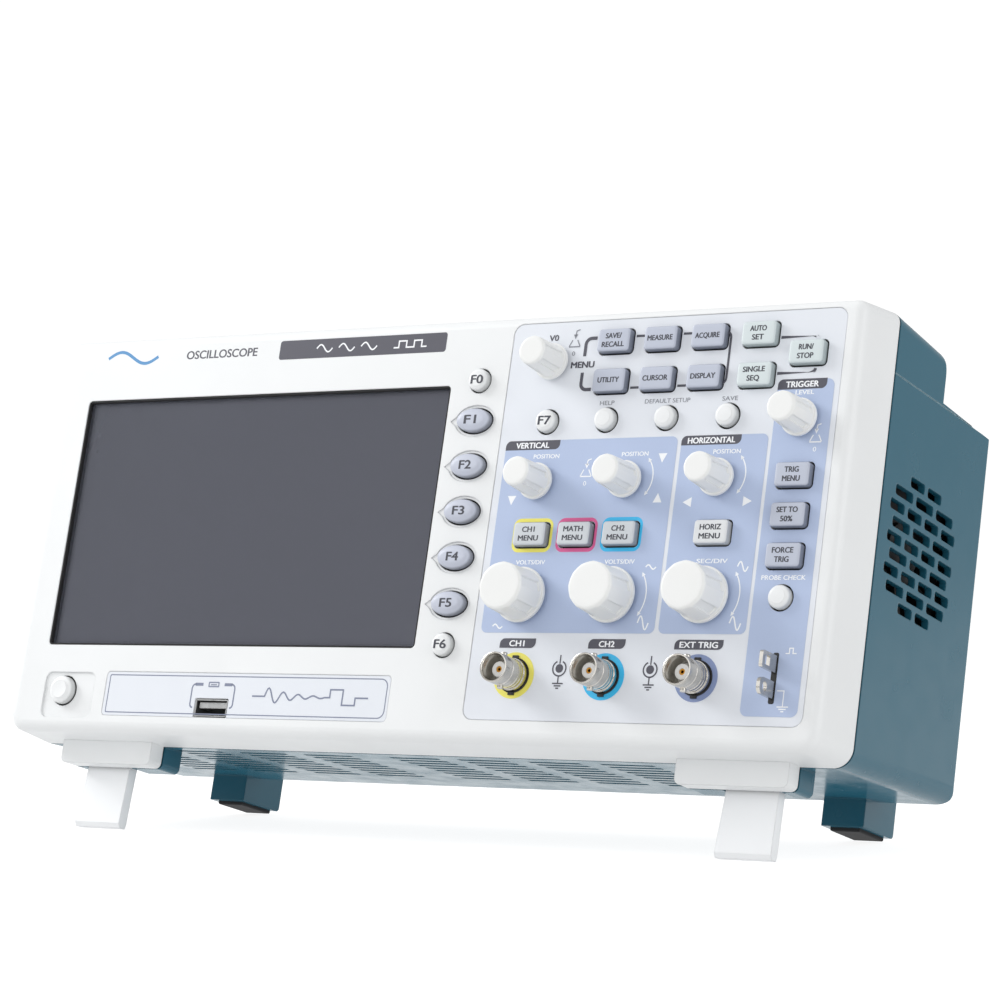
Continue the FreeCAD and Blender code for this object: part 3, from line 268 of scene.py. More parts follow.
def display_panel(name):
    """Switched-off liquid-crystal panel: fine cell grid under an anti-glare polariser, metal tray behind."""
    material, tree, bsdf = new_material(name)
    where = position(tree)
    grid = node(tree, "TexVoronoi", {"Vector": where, "Scale": 1 / (0.19 * MM), "Randomness": 0.0})
    cells = grid.outputs["Distance"]
    glare = noise(tree, 120.0, 1.0)
    dark = blend_colour(tree, glare, srgb("#aaa9b2"), srgb("#b4b3bc"))
    dark = blend_colour(tree, remap(tree, cells, 0.0, 0.10, 0.2, 0.6), dark, srgb("#94949e"))
    tray = arithmetic(tree, "GREATER_THAN", separate(tree, where)[1], FACE_Y + TRAY_DEPTH * MM)
    join(tree, blend_colour(tree, tray, dark, srgb("#9a9b9c")), bsdf, "Base Color")
    join(tree, tray, bsdf, "Metallic")
    bsdf.inputs["Roughness"].default_value = 0.42
    relief(tree, bsdf, noise(tree, 0.25), 0.004, 0.5)
    return material


def clear_window(name):
    """Thin clear sheet: see-through, with a Fresnel reflection and a few dust specks in the gloss."""
    material, tree, bsdf = new_material(name)
    bsdf.inputs["Base Color"].default_value = srgb("#8c8f98")
    join(tree, remap(tree, noise(tree, 5.0, 4.0), 0.16, 0.30, 0.3, 0.8), bsdf, "Roughness")
    clear = node(tree, "BsdfTransparent", {"Color": srgb("#f2f3f5")})
    fresnel = node(tree, "Fresnel", {"IOR": 1.45}).outputs["Fac"]
    mix_surface(tree, arithmetic(tree, "ADD", fresnel, 0.03), clear, bsdf)
    return material


def seam_shade_plastic(name, front_code, seam_shade_code, limit_mm, **finish):
    """Plastic painted with shade behind a depth: a dark colour stands in for the shadow on the lip inside a
    seam.
    """
    material = plastic(name, front_code, **finish)
    tree, bsdf, front = base_colour(material)
    # Painted shade: past the depth the colour turns dark, as the seam's shadow.
    behind = arithmetic(tree, "GREATER_THAN", depth_of(tree), FACE_Y + limit_mm * MM)
    join(tree, blend_colour(tree, behind, front, srgb(seam_shade_code)), bsdf, "Base Color")
    return material


def case_plastic(name, code, highlight_code, **finish):
    """The case's plastic, with a painted highlight, a lighter line, along the crease on the side walls."""
    material = plastic(name, code, **finish)
    tree, bsdf, body = base_colour(material)
    across, depth, height = separate(tree, position(tree))
    run = arithmetic(tree, "SUBTRACT", depth, FACE_Y + CREASE_HIGHLIGHT_START.x * MM)
    rise = arithmetic(tree, "MULTIPLY", run, CREASE_HIGHLIGHT_SLOPE)
    climb = arithmetic(tree, "SUBTRACT", height, FLOOR_Z + CREASE_HIGHLIGHT_START.y * MM)
    off = arithmetic(tree, "ABSOLUTE", arithmetic(tree, "SUBTRACT", climb, rise))
    # Painted highlight: a thin band along the crease takes the lighter colour.
    on_highlight = arithmetic(tree, "LESS_THAN", off, CREASE_HIGHLIGHT_HALF * MM)
    side = arithmetic(tree, "GREATER_THAN", arithmetic(tree, "ABSOLUTE", across), CREASE_HIGHLIGHT_X * MM)
    mask = arithmetic(tree, "MULTIPLY", on_highlight, side)
    join(tree, blend_colour(tree, mask, body, srgb(highlight_code)), bsdf, "Base Color")
    return material


def key_with_painted_shade(name, top_code, side_shade_code):
    """Key with a light top, its sides painted darker as shade and painted black inside its opening as the
    gap's shadow.
    """
    material = plastic(name, top_code, 0.45, grain=0.25, depth=0.006, rim=0.2, wear=0.04)
    tree, bsdf, top = base_colour(material)
    # Painted shade: faces turned away from the front take the darker side colour.
    toward = separate(tree, node(tree, "NewGeometry").outputs["Normal"])[1]
    side = remap(tree, toward, 0.0, 1.0, -0.75, -0.25)
    outer = blend_colour(tree, side, top, srgb(side_shade_code))
    # Painted shadow: deeper than the face, inside the opening, the key turns black.
    opening_shade = remap(tree, depth_of(tree), 0.0, 1.0, FACE_Y + SHADE_START * MM, FACE_Y + SHADE_END * MM)
    join(tree, blend_colour(tree, opening_shade, outer, srgb("#101012")), bsdf, "Base Color")
    return material


# Settings of a plastic after its colour: roughness, grain size and depth, mottle, rounded rim and wear.
MATERIALS = {}
for maker, name, *settings in (
    (plastic, "leg_white", "#f7f9fb", 0.42, 0.45, 0.012, 0.03, 0.5),
    (plastic, "label_film", "#e4e8ef", 0.38, 0.22, 0.006, 0.01, 0.1, 0.0),
    (plastic, "knob_white", "#eff0ef", 0.36, 0.30, 0.006, 0.03, 0.25, 0.02),
    (plastic, "insulator", "#f4f4f2", 0.35, 0.4, 0.004, 0.03, 0.1, 0.0),
    (plastic, "black_plastic", "#17181a", 0.45, 0.3, 0.01, 0.03, 0.2, 0.05),
    (clear_window, "display_glass"),
    (display_panel, "display_panel"),
    (rubber, "gasket", "#141416"),
    (rubber, "rubber_black", "#1d1d1f"),
    (rubber, "wire", "#55565c"),
    # Keys: the top colour, then the darker colour of the painted shade on the sides.
    (key_with_painted_shade, "key_grey", "#bcc2d1", "#7d8392"),
    (key_with_painted_shade, "key_channel", "#ccd1d6", "#9a9fa6"),
    (key_with_painted_shade, "key_light", "#e2e4e6", "#b7babd"),
    (key_with_painted_shade, "key_pale", "#d3dddf", "#aab5b7"),
    (key_with_painted_shade, "key_white", "#eceeef", "#c9cbcb"),
    (key_with_painted_shade, "softkey_blue", "#c3c8d6", "#8d919c"),
    (turned_metal, "nickel", "#cdcac4", 0.20),
    (turned_metal, "gold", "#c98f3c", 0.3),
    (sheet_metal, "sheet_steel", "#b3b4b5"),
    (circuit_board, "main_board", 25.75, True),
    (circuit_board, "control_board", 9.95, False),
    (circuit_board, "power_board", 61.65, True),
    (ink, "ink_blue", "#b4c3e1", 0.42),
    (ink, "ink_dark", "#4d4d58"),
    (ink, "ink_text", "#3d3f49"),
    (ink, "ink_grey", "#8a8d96"),
    (ink, "ink_white", "#f6f8fb"),
    (ink, "ink_yellow", "#f2e96b"),
    (ink, "ink_magenta", "#dd5f97"),
    (ink, "ink_cyan", "#36bdf0"),
    (ink, "ink_steel", "#8494bd"),
    (ink, "ink_slate", "#7f869c"),
    (ink, "ink_mark", "#4d8fc4"),
):
    MATERIALS[name] = maker(name, *settings)
# The bezel behind 19.35 mm, inside the seam, is painted dark as the seam's shade.
MATERIALS["bezel_white"] = seam_shade_plastic("bezel_white", "#eceeef", "#26333a", 19.35, roughness=0.40, grain=0.45,
                                    depth=0.012, rim=0.5)
# The second colour is the painted highlight along the crease.
MATERIALS["case_teal"] = case_plastic("case_teal", "#235f73", "#8fb0bc", roughness=0.22, grain=0.30,
                                      depth=0.004, rim=0.6, specular=0.32)


# --- mesh helpers ---
def add_object(name, data):
    made = bpy.data.objects.new(name, data)
    bpy.context.scene.collection.objects.link(made)
    return made


def new_piece(name, mesh, material, body="case", sharp=35):
    """Puts a mesh drawn in panel millimetres into the frame, with its finish, riding on a body."""
    mesh.transform(TO_FRAME)
    mesh.materials.clear()
    mesh.materials.append(MATERIALS[material])
    mesh.shade_smooth()
    mesh.set_sharp_from_angle(angle=math.radians(sharp))
    piece = add_object(name, mesh)
    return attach(piece, body)


def finished(bm):
    mesh = bpy.data.meshes.new("piece")
    bm.to_mesh(mesh)
    bm.free()
    return mesh


def mesh_from(bm):
    """Mesh of a built-up surface, welded and with its normals outwards."""
    bmesh.ops.remove_doubles(bm, verts=bm.verts, dist=1e-5)
    bmesh.ops.recalc_face_normals(bm, faces=bm.faces)
    return finished(bm)


def skin(bm, rings, closed=False):
    """Joins a stack of equal point rings; the ends are capped, or joined to each other when closed."""
    made = [[bm.verts.new(point) for point in ring] for ring in rings]
    pairs = list(zip(made, made[1:]))
    if closed:
        pairs.append((made[-1], made[0]))
    else:
        bm.faces.new(made[0])
        bm.faces.new(list(reversed(made[-1])))
    for low, high in pairs:
        for i in range(len(low)):
            j = (i + 1) % len(low)
            bm.faces.new((low[i], low[j], high[j], high[i]))


def lathe(bm, x, z, profile, segments):
    """Turns a closed profile of (radius, depth) points round the depth axis at x, z."""
    rings = []
    for radius, depth in profile:
        ring = []
        for step in range(segments):
            turn = 2 * math.pi * step / segments
            ring.append((x + radius * math.cos(turn), depth, z + radius * math.sin(turn)))
        rings.append(ring)
    skin(bm, rings, closed=True)


def prism_mesh(outlines, front, back):
    """Closed plate over flat outlines; an outline inside another is a hole."""
    curve = bpy.data.curves.new("outline", "CURVE")
    curve.dimensions = "2D"
    curve.fill_mode = "BOTH"
    curve.extrude = (back - front) / 2
    for outline in outlines:
        spline = curve.splines.new("POLY")
        spline.points.add(len(outline) - 1)
        for point, (x, z) in zip(spline.points, outline):
            point.co = (x, z, 0, 1)
        spline.use_cyclic_u = True
    return stand_up(curve, (front + back) / 2)


def stand_up(curve, depth, scale=1.0):
    """Mesh of a flat curve or text, turned to face the front at a depth."""
    holder = add_object("holder", curve)
    bpy.context.view_layer.update()
    shape = holder.evaluated_get(bpy.context.evaluated_depsgraph_get())
    mesh = bpy.data.meshes.new_from_object(shape)
    bpy.data.objects.remove(holder)
    bpy.data.curves.remove(curve)
    mesh.transform(Matrix(((scale, 0, 0, 0), (0, 0, -1, depth), (0, scale, 0, 0), (0, 0, 0, 1))))
    bm = bmesh.new()
    bm.from_mesh(mesh)
    bpy.data.meshes.remove(mesh)
    return mesh_from(bm)


def merged(meshes):
    """One mesh of several, which it uses up."""
    bm = bmesh.new()
    for mesh in meshes:
        bm.from_mesh(mesh)
        bpy.data.meshes.remove(mesh)
    return finished(bm)


# Height of a capital in the built-in font at size 1, and where the three copies of a bold word go, in
# parts of its extra stroke: a triangle round the word.
CAP_HEIGHT = 0.729
BOLD_SHIFTS = ((-0.5, -0.2), (0.5, -0.2), (0.0, 0.3))
COPY_STEP = 0.004


def lettering(text, x, z, cap, front, width, bold, thickness):
    """Words centred on x, z with the given cap height, squeezed or stretched to the width.

    Bold words are three copies, a fraction of a stroke apart, each a hair behind the last.
    """
    curve = bpy.data.curves.new("text", "FONT")
    curve.body = text
    curve.align_x = "CENTER"
    curve.resolution_u = 4
    curve.extrude = thickness / 2
    mesh = stand_up(curve, front + thickness / 2, cap / CAP_HEIGHT)
    xs = [v.co.x for v in mesh.vertices]
    mesh.transform(Matrix.Scale(width / (max(xs) - min(xs)), 4, (1, 0, 0)))
    mesh.transform(Matrix.Translation((x, 0, z - cap / 2)))
    if not bold:
        return mesh
    copies = []
    for number, (dx, dz) in enumerate(BOLD_SHIFTS):
        copy = mesh.copy()
        copy.transform(Matrix.Translation((dx * bold, COPY_STEP * number, dz * bold)))
        copies.append(copy)
    bpy.data.meshes.remove(mesh)
    return merged(copies)


# --- flat outlines ---
def arc(x, z, radius, start, end, steps=8):
    points = []
    for step in range(steps + 1):
        turn = math.radians(start + (end - start) * step / steps)
        points.append((x + radius * math.cos(turn), z + radius * math.sin(turn)))
    return points


def disc(x, z, radius, steps=64):
    return arc(x, z, radius, 0, 360 - 360 / steps, steps - 1)


def plate(left, right, bottom, top, radii):
    """Rectangle with its own corner radius at bottom left, bottom right, top right and top left."""
    if not isinstance(radii, tuple):
        radii = (radii,) * 4
    points = []
    corners = ((left, bottom, 1, 1, 180), (right, bottom, -1, 1, 270),
               (right, top, -1, -1, 0), (left, top, 1, -1, 90))
    for (x, z, dx, dz, start), radius in zip(corners, radii):
        if radius:
            points += arc(x + dx * radius, z + dz * radius, radius, start, start + 90)
        else:
            points.append((x, z))
    return points


def block(x, z, half_w, half_h, radii):
    """Plate centred on x, z."""
    return plate(x - half_w, x + half_w, z - half_h, z + half_h, radii)


def oval(x, z, width, height, steps):
    return [(x + (px - x) * width / 2, z + (pz - z) * height / 2) for px, pz in disc(x, z, 1.0, steps)]


MITRE_LIMIT = 0.4


def stroke(points, width):
    """Outline of a line of even width along the points."""
    left, right = [], []
    for i, (x, z) in enumerate(points):
        before = Vector(points[max(i - 1, 0)])
        after = Vector(points[min(i + 1, len(points) - 1)])
        here = Vector((x, z))
        ways = [w.normalized() for w in (here - before, after - here) if w.length > 0]
        way = sum(ways, Vector((0, 0))).normalized()
        reach = width / 2 / max(MITRE_LIMIT, way.dot(ways[0]))
        side = Vector((-way.y, way.x)) * reach
        left.append((x + side.x, z + side.y))
        right.append((x - side.x, z - side.y))
    return left + right[::-1]


def line(points, width):
    """A stroke as a shape of its own, ready to print."""
    return [stroke(points, width)]


def triangle(x, z, width, height, turn):
    """Solid arrowhead pointing up, turned anticlockwise by turn degrees."""
    points = []
    for dx, dz in ((-width / 2, -height / 2), (width / 2, -height / 2), (0, height / 2)):
        spin = Vector((dx, dz))
        spin.rotate(Matrix.Rotation(math.radians(turn), 2))
        points.append((x + spin.x, z + spin.y))
    return points


def wave(x, z, width, height, steps=24):
    return [(x - width / 2 + width * i / steps, z + height / 2 * math.sin(2 * math.pi * i / steps))
            for i in range(steps + 1)]


# --- carried-over nodes ---
NODE_MATERIAL = {
    "front_bezel": "bezel_white", "rear_case": "case_teal", "lcd_module": "display_panel",
    "control_label": "label_film", "control_board": "control_board", "main_board": "main_board",
    "rf_shield": "sheet_steel", "chassis": "sheet_steel", "usb_host_port": "sheet_steel",
    "usb_device_port": "sheet_steel", "probe_terminals": "nickel", "power_supply_board": "power_board",
    "power_inlet": "black_plastic", "fan_frame": "black_plastic", "fan_rotor": "black_plastic",
    "wiring_harness": "wire", "foot_pads": "rubber_black", "case_screws": "sheet_steel",
    "tilt_foot_left": "leg_white", "tilt_foot_right": "leg_white", "carry_handle": "case_teal",
}
for name, material in NODE_MATERIAL.items():
    frame["nodes"][name].material_slots[0].material = MATERIALS[material]

SLOTS = {row["node"]: row["material_slot"] for row in frame["record"]["subparts"]}


# --- display ---
GASKET_RIM, WINDOW_GAP, WINDOW_THICKNESS = 0.6, 0.05, 1.0


def build_display():
    """Black gasket frame round the clear window, the window sunk to its back edge."""
    low, high = panel_box("lcd_window")

    def inset_plate(inset, radius):
        return plate(low.x + inset, high.x - inset, low.z + inset, high.z - inset, radius)

    frame_mesh = prism_mesh([inset_plate(0, 1.4), inset_plate(GASKET_RIM, 0.6)], low.y, high.y)
    gasket = new_piece("display_gasket", frame_mesh, "gasket")
    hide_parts("lcd_window")
    sheet = prism_mesh([inset_plate(GASKET_RIM + WINDOW_GAP, 0.55)], high.y - WINDOW_THICKNESS, high.y)
    new_piece("display_window", sheet, "display_glass")


build_display()


# --- keys ---
# Flange behind the wall, and the post that reaches the switch.
FLANGE = 0.9
FLANGE_FRONT, FLANGE_BACK, POST_END = 2.75, 3.75, 5.2
POST_R = 1.5
# Rounding of the top's edge, and how far the top falls back towards it; a negative fall is a dish.
KEY_ROUNDING = {"rect": 0.75, "oval": 1.5, "round": 1.2, "power": 1.2}
KEY_CROWN = {"rect": 0.05, "oval": 0.22, "round": 0.18, "power": -0.35}
KEY_CORNER, LEAST_CORNER = 1.1, 0.3
TOP_SHARES = (0.12, 0.4, 0.65)
LEGEND_LIFT, LEGEND_THICKNESS = 0.03, 0.12
LINE_PITCH = 1.6
# A key wider than this many times its height is long, not round.
LONG_KEY = 1.2


def key_outline(kind, x, z, width, height, inset):
    w, h = width - 2 * inset, height - 2 * inset
    if kind == "rect":
        return block(x, z, w / 2, h / 2, max(KEY_CORNER - inset * 0.6, LEAST_CORNER))
    return oval(x, z, w, h, 36)


def build_key(node_name, kind, material, lines, cap=1.75, bold=0.17):
    """Key with a crowned top, rounded edges, flange and post, and its printed legend, one text a line."""
    x, z = centre(node_name)
    low, high = panel_box(node_name)
    width, height = high.x - low.x - 2 * FLANGE, high.z - low.z - 2 * FLANGE
    rounding, crown = KEY_ROUNDING[kind], KEY_CROWN[kind]
    stations = [(min(width, height) / 2 * (1 - share), -KEY_PROUD + crown * share ** 2)
                for share in TOP_SHARES]
    edge_inset = stations[-1][0]
    steps = 7
    for step in range(steps + 1):
        turn = math.pi / 2 * step / steps
        inset = rounding * (1 - math.sin(turn))
        if inset < edge_inset:
            stations.append((inset, -KEY_PROUD + abs(crown) + rounding * (1 - math.cos(turn))))
    rings = [[(px, depth, pz) for px, pz in key_outline(kind, x, z, width, height, inset)]
             for inset, depth in stations]
    for extra, depth in ((0, FLANGE_FRONT), (FLANGE, FLANGE_FRONT), (FLANGE, FLANGE_BACK)):
        rings.append([(px, depth, pz) for px, pz in key_outline(kind, x, z, width, height, -extra)])
    for depth in (FLANGE_BACK, POST_END):
        rings.append([(x + POST_R * math.cos(a), depth, z + POST_R * math.sin(a))
                      for a in (math.atan2(pz - z, px - x) for px, _, pz in rings[0])])
    bm = bmesh.new()
    skin(bm, rings)
    piece = new_piece(node_name + "_cap", mesh_from(bm), material, node_name, sharp=50)
    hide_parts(node_name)
    if lines:
        front = -KEY_PROUD - LEGEND_LIFT
        texts = []
        for number, (text, text_width) in enumerate(lines):
            line_z = z + ((len(lines) - 1) / 2 - number) * cap * LINE_PITCH
            texts.append(lettering(text, x, line_z, cap, front, text_width, bold, LEGEND_THICKNESS))
        new_piece(node_name + "_legend", merged(texts), "ink_text", node_name)


# Keys whose paint differs from their slot's, and each key's lines of text with their widths.
KEY_MATERIALS = {"key_ch1_menu": "key_channel", "key_math_menu": "key_channel",
                 "key_ch2_menu": "key_channel", "key_horiz_menu": "key_light"}
KEY_LEGENDS = {
    "key_save_recall": (("SAVE/", 5.6), ("RECALL", 7.9)),
    "key_measure": (("MEASURE", 8.8),),
    "key_acquire": (("ACQUIRE", 8.4),),
    "key_utility": (("UTILITY", 7.6),),
    "key_cursor": (("CURSOR", 8.8),),
    "key_display": (("DISPLAY", 8.6),),
    "key_auto_set": (("AUTO", 5.6), ("SET", 3.9)),
    "key_single": (("SINGLE", 7.4), ("SEQ", 4.2)),
    "key_run_stop": (("RUN/", 4.8), ("STOP", 5.4)),
    "key_horiz_menu": (("HORIZ", 7.2), ("MENU", 7.2)),
    "key_trig_menu": (("TRIG", 4.7), ("MENU", 5.8)),
    "key_set_half": (("SET TO", 7.0), ("50%", 4.0)),
    "key_force_trig": (("FORCE", 7.0), ("TRIG", 4.8)),
    "key_ch1_menu": (("CH1", 4.5), ("MENU", 7.2)),
    "key_math_menu": (("MATH", 6.9), ("MENU", 7.2)),
    "key_ch2_menu": (("CH2", 4.6), ("MENU", 7.2)),
}


def key_names():
    return [name for name in frame["nodes"] if name.startswith(("key_", "softkey_", "power_button"))]


def build_keys():
    for name in sorted(key_names()):
        slot = SLOTS[name]
        low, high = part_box(name)
        wide = (high.x - low.x) > LONG_KEY * (high.z - low.z)
        if name.startswith("softkey_"):
            kind = "oval" if wide else "round"
            build_key(name, kind, slot, ((name[-2:].upper(), 4.4),), cap=2.9, bold=0.24)
        elif name == "power_button":
            build_key(name, "power", slot, ())
        else:
            material = KEY_MATERIALS.get(name, slot)
            build_key(name, "rect" if wide else "round", material, KEY_LEGENDS.get(name, ()))


build_keys()


# --- knobs ---
KNOB_BACK = -1.2
KNOB_FLANGE_T = 1.3
BASE_INSET, TOP_INSET = 0.55, 1.15
LARGE_KNOB_R = 8
HUB_R, HUB_END = 3.0, 7.0
# Degrees: from one flat of the twelve-sided grip to the next, and from one grip recess to the next.
FLAT_PITCH, RECESS_PITCH = 30, 60
FLAT_SHARE = 0.55
# Depth of a recess, half its angle, and the angle over which its wall slopes.
RECESS_DEPTH, RECESS_HALF, RECESS_WALL = 0.5, 11.2, 1.2


def knob_angles():
    """Angles round a knob, closer together at the edges of the grip recesses."""
    recess = (-15, -12.5, -11.2, -10.6, -10.0, -7, -3.5, 0, 3.5, 7, 10.0, 10.6, 11.2, 12.5)
    plain = range(15, 45, 3)
    return [start + offset for start in range(0, 360, RECESS_PITCH) for offset in (*recess, *plain)]


def recess_share(angle):
    """1 in the middle of a grip recess, 0 outside it."""
    offset = abs((angle + RECESS_PITCH / 2) % RECESS_PITCH - RECESS_PITCH / 2)
    return min(max((RECESS_HALF - offset) / RECESS_WALL, 0), 1)


def facet_radius(angle, radius, share):
    """Radius of a soft twelve-sided outline whose flats are centred on the recesses."""
    half = FLAT_PITCH / 2
    offset = math.radians((angle + half) % FLAT_PITCH - half)
    flat = radius * math.cos(math.radians(half)) / math.cos(offset)
    return radius + (flat - radius) * share


def build_knob(node_name):
    """Tapered knob with a rounded front, six grip recesses, a flange and a hub.

    A station is a radius, a depth, the share of the recess and the share of the flats.
    """
    x, z = centre(node_name)
    low, high = panel_box(node_name)
    flange_r = (high.x - low.x) / 2
    base_r, top_r = flange_r - BASE_INSET, flange_r - TOP_INSET
    front, base = KNOB_FRONT, KNOB_BACK - KNOB_FLANGE_T
    rounding = 1.1 if flange_r > LARGE_KNOB_R else 0.9
    recess_end = base - 1.1

    def cone(depth):
        return top_r + (base_r - top_r) * (depth - front) / (base - front)

    face_r = cone(front) - rounding
    stations = [(face_r * share, front, 0.0, facet) for share, facet in ((0.25, 0), (0.55, 0), (0.8, 0.3))]
    steps = 8
    for step in range(steps + 1):
        turn = math.pi / 2 * step / steps
        depth = front + rounding * (1 - math.cos(turn))
        radius = cone(depth) - rounding * (1 - math.sin(turn))
        stations.append((radius, depth, 0.0, 0.35 + 0.65 * step / steps))
    recess_start = front + rounding + 0.35
    stations.append((cone(recess_start), recess_start, 0.0, 1.0))
    spans = 6
    for step in range(spans + 1):
        depth = recess_start + 0.3 + (recess_end - recess_start - 0.3) * step / spans
        stations.append((cone(depth), depth, 1.0, 1.0))
    for depth, facet in ((recess_end + 0.25, 1.0), (base - 0.5, 0.7), (base - 0.12, 0.3)):
        stations.append((cone(depth), depth, 0.0, facet))
    flange = ((cone(base) + 0.05, base), (flange_r - 0.2, base + 0.02), (flange_r, base + 0.25),
              (flange_r, KNOB_BACK - 0.15), (flange_r - 0.15, KNOB_BACK),
              (HUB_R, KNOB_BACK), (HUB_R, HUB_END))
    stations += [(radius, depth, 0.0, 0.0) for radius, depth in flange]
    rings = []
    for radius, depth, cut, facet in stations:
        ring = []
        for angle in knob_angles():
            r = facet_radius(angle, radius, FLAT_SHARE * facet) - RECESS_DEPTH * cut * recess_share(angle)
            turn = math.radians(angle + FLAT_PITCH / 2)
            ring.append((x + r * math.cos(turn), depth, z + r * math.sin(turn)))
        rings.append(ring)
    bm = bmesh.new()
    skin(bm, rings)
    piece = new_piece(node_name + "_cap", mesh_from(bm), "knob_white", node_name, sharp=28)
    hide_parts(node_name)


for name in sorted(frame["nodes"]):
    if name.startswith("knob_"):
        build_knob(name)


# --- coaxial sockets ---
# Closed profiles of a socket's turned pieces: radius and depth of each corner.
SHELL = ((4.22, -11.8), (4.34, -12.0), (4.6, -12.0), (4.76, -11.94), (4.8, -11.8), (4.8, -8.3), (4.7, -8.2),
         (4.7, -7.9), (4.8, -7.8), (4.8, -5.1), (4.66, -5.0), (4.66, -4.6), (4.8, -4.5), (4.8, -3.6),
         (4.66, -3.5), (4.66, -3.1), (4.8, -3.0), (4.8, -2.0), (4.88, -1.9), (5.06, -1.88), (5.12, -1.8),
         (5.12, 3.2), (5.55, 3.3), (5.55, 24.0), (4.1, 24.0), (4.1, -11.6))
INSULATOR = ((1.0, -8.55), (2.3, -8.6), (2.42, -8.55), (2.45, -8.4), (2.45, -4.0), (4.05, -3.9), (4.05, 1.0),
             (1.0, 1.0))
CONTACT = ((0.45, -8.3), (0.55, -8.4), (0.9, -8.4), (0.98, -8.3), (0.98, 0.5), (0.45, 0.5))
# Black ring in the gap between shell and label hole: painted shade of the gap.
GAP_SHADE_RING = ((5.14, -0.15), (5.2, -0.25), (5.5, -0.25), (5.58, -0.15), (5.58, 0.4), (5.14, 0.4))
# Bayonet studs: depth of their axis, and the radius and reach from the socket's axis along a stud.
STUD_DEPTH = -6.6
STUD = ((0.55, 5.78), (0.85, 5.68), (0.97, 5.45), (1.0, 5.2), (1.0, 4.2))
# Black blocks at the top and bottom of the ring, painted shade of the hole's notches: half width, half
# height, distance from the axis, front and back.
TAB_HALF_W, TAB_HALF_H, TAB_OUT, TAB_FRONT, TAB_BACK = 1.1, 0.5, 5.75, -0.42, 0.3


def build_sockets():
    """Turned shell, white insulator and gilt contact of each coaxial socket, and a black ring with two
    blocks as painted shade of the gap round it.
    """
    shells, insulators, contacts, gap_shade_rings = bmesh.new(), bmesh.new(), bmesh.new(), bmesh.new()
    turns = [2 * math.pi * i / 24 for i in range(24)]
    for x in CHANNEL_X:
        lathe(shells, x, BNC_Z, SHELL, 72)
        for side in (-1, 1):
            skin(shells, [[(x + radius * math.cos(t), STUD_DEPTH + radius * math.sin(t), BNC_Z + side * out)
                           for t in turns] for radius, out in STUD])
        lathe(insulators, x, BNC_Z, INSULATOR, 64)
        lathe(contacts, x, BNC_Z, CONTACT, 32)
        lathe(gap_shade_rings, x, BNC_Z, GAP_SHADE_RING, 72)
    shell_piece = new_piece("bnc_shells", mesh_from(shells), "nickel", sharp=32)
    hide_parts("bnc_sockets")
    new_piece("bnc_insulators", mesh_from(insulators), "insulator", sharp=32)
    new_piece("bnc_contacts", mesh_from(contacts), "gold", sharp=32)
    meshes = [mesh_from(gap_shade_rings)]
    for x in CHANNEL_X:
        for z in (BNC_Z - TAB_OUT, BNC_Z + TAB_OUT):
            meshes.append(prism_mesh([block(x, z, TAB_HALF_W, TAB_HALF_H, 0.2)], TAB_FRONT, TAB_BACK))
    new_piece("bnc_gap_shade_rings", merged(meshes), "black_plastic", sharp=32)


build_sockets()


# --- printed label ---
# Gap round a key, the holes round knobs, sockets and terminal blades, and the left end of the large film.
GAP = 0.55
KNOB_HOLE_R, SOCKET_HOLE_R = 4.9, 5.6
BLADE_X, BLADE_HOLE_HALF_W, BLADE_HOLE_HALF_H = 138.0, 0.8, 2.7
FILM_LEFT = 30.0
# Ink: how far each coat stands in front of the last, how far it sinks into its base, and words' thickness.
INK_STEP, INK_ROOT, WORD_THICKNESS = 0.03, 0.01, 0.035


def openings():
    """Outlines of everything that passes through the control label."""
    cuts = []
    for name in key_names():
        x, z = centre(name)
        if FILM_LEFT < x < LABEL_HIGH.x:
            low, high = panel_box(name)
            w, h = (high.x - low.x) / 2 - FLANGE + GAP, (high.z - low.z) / 2 - FLANGE + GAP
            long_key = w > LONG_KEY * h
            cuts.append(block(x, z, w, h, KEY_CORNER + GAP) if long_key else disc(x, z, w))
    for name in frame["nodes"]:
        if name.startswith("knob_"):
            cuts.append(disc(*centre(name), KNOB_HOLE_R))
    for x in CHANNEL_X:
        cuts.append(disc(x, BNC_Z, SOCKET_HOLE_R))
    for z in TERMINAL_Z:
        cuts.append(block(BLADE_X, z, BLADE_HOLE_HALF_W, BLADE_HOLE_HALF_H, 0.5))
    return cuts


def inside(cut, outline):
    """Whether the middle of a cut lies in the box round an outline."""
    xs, zs = [p[0] for p in outline], [p[1] for p in outline]
    middle = [sum(p[i] for p in cut) / len(cut) for i in (0, 1)]
    return min(xs) < middle[0] < max(xs) and min(zs) < middle[1] < max(zs)


def printed(name, material, shapes, layer=1, base=FILM_FRONT, slot="label_film"):
    """One coat of ink, a little proud of its base per layer.

    A shape is a mesh of words at depth 0, or a list with an outline and then its holes.
    """
    front = base - INK_STEP * layer
    meshes = []
    for shape in shapes:
        if isinstance(shape, bpy.types.Mesh):
            shape.transform(Matrix.Translation((0, front, 0)))
            meshes.append(shape)
        else:
            meshes.append(prism_mesh(shape, front, base + INK_ROOT))
    return new_piece(name, merged(meshes), material)


def words(text, x, z, cap, width, bold=0.0):
    return lettering(text, x, z, cap, 0.0, width, bold, WORD_THICKNESS)


def square_trace(start, edges, end, low, high):
    """Points of a square wave that starts low and steps at each edge."""
    points, level = [(start, low)], low
    for edge in edges:
        points.append((edge, level))
        level = high if level == low else low
        points.append((edge, level))
    return points + [(end, level)]


def ground_bars(x, z, pitch, width):
    """The three shrinking bars of an earth symbol, downwards from x, z."""
    bars = []
    for number, half in enumerate((1.9, 1.2, 0.5)):
        level = z - number * pitch
        bars.append(line([(x - half, level), (x + half, level)], width))
    return bars


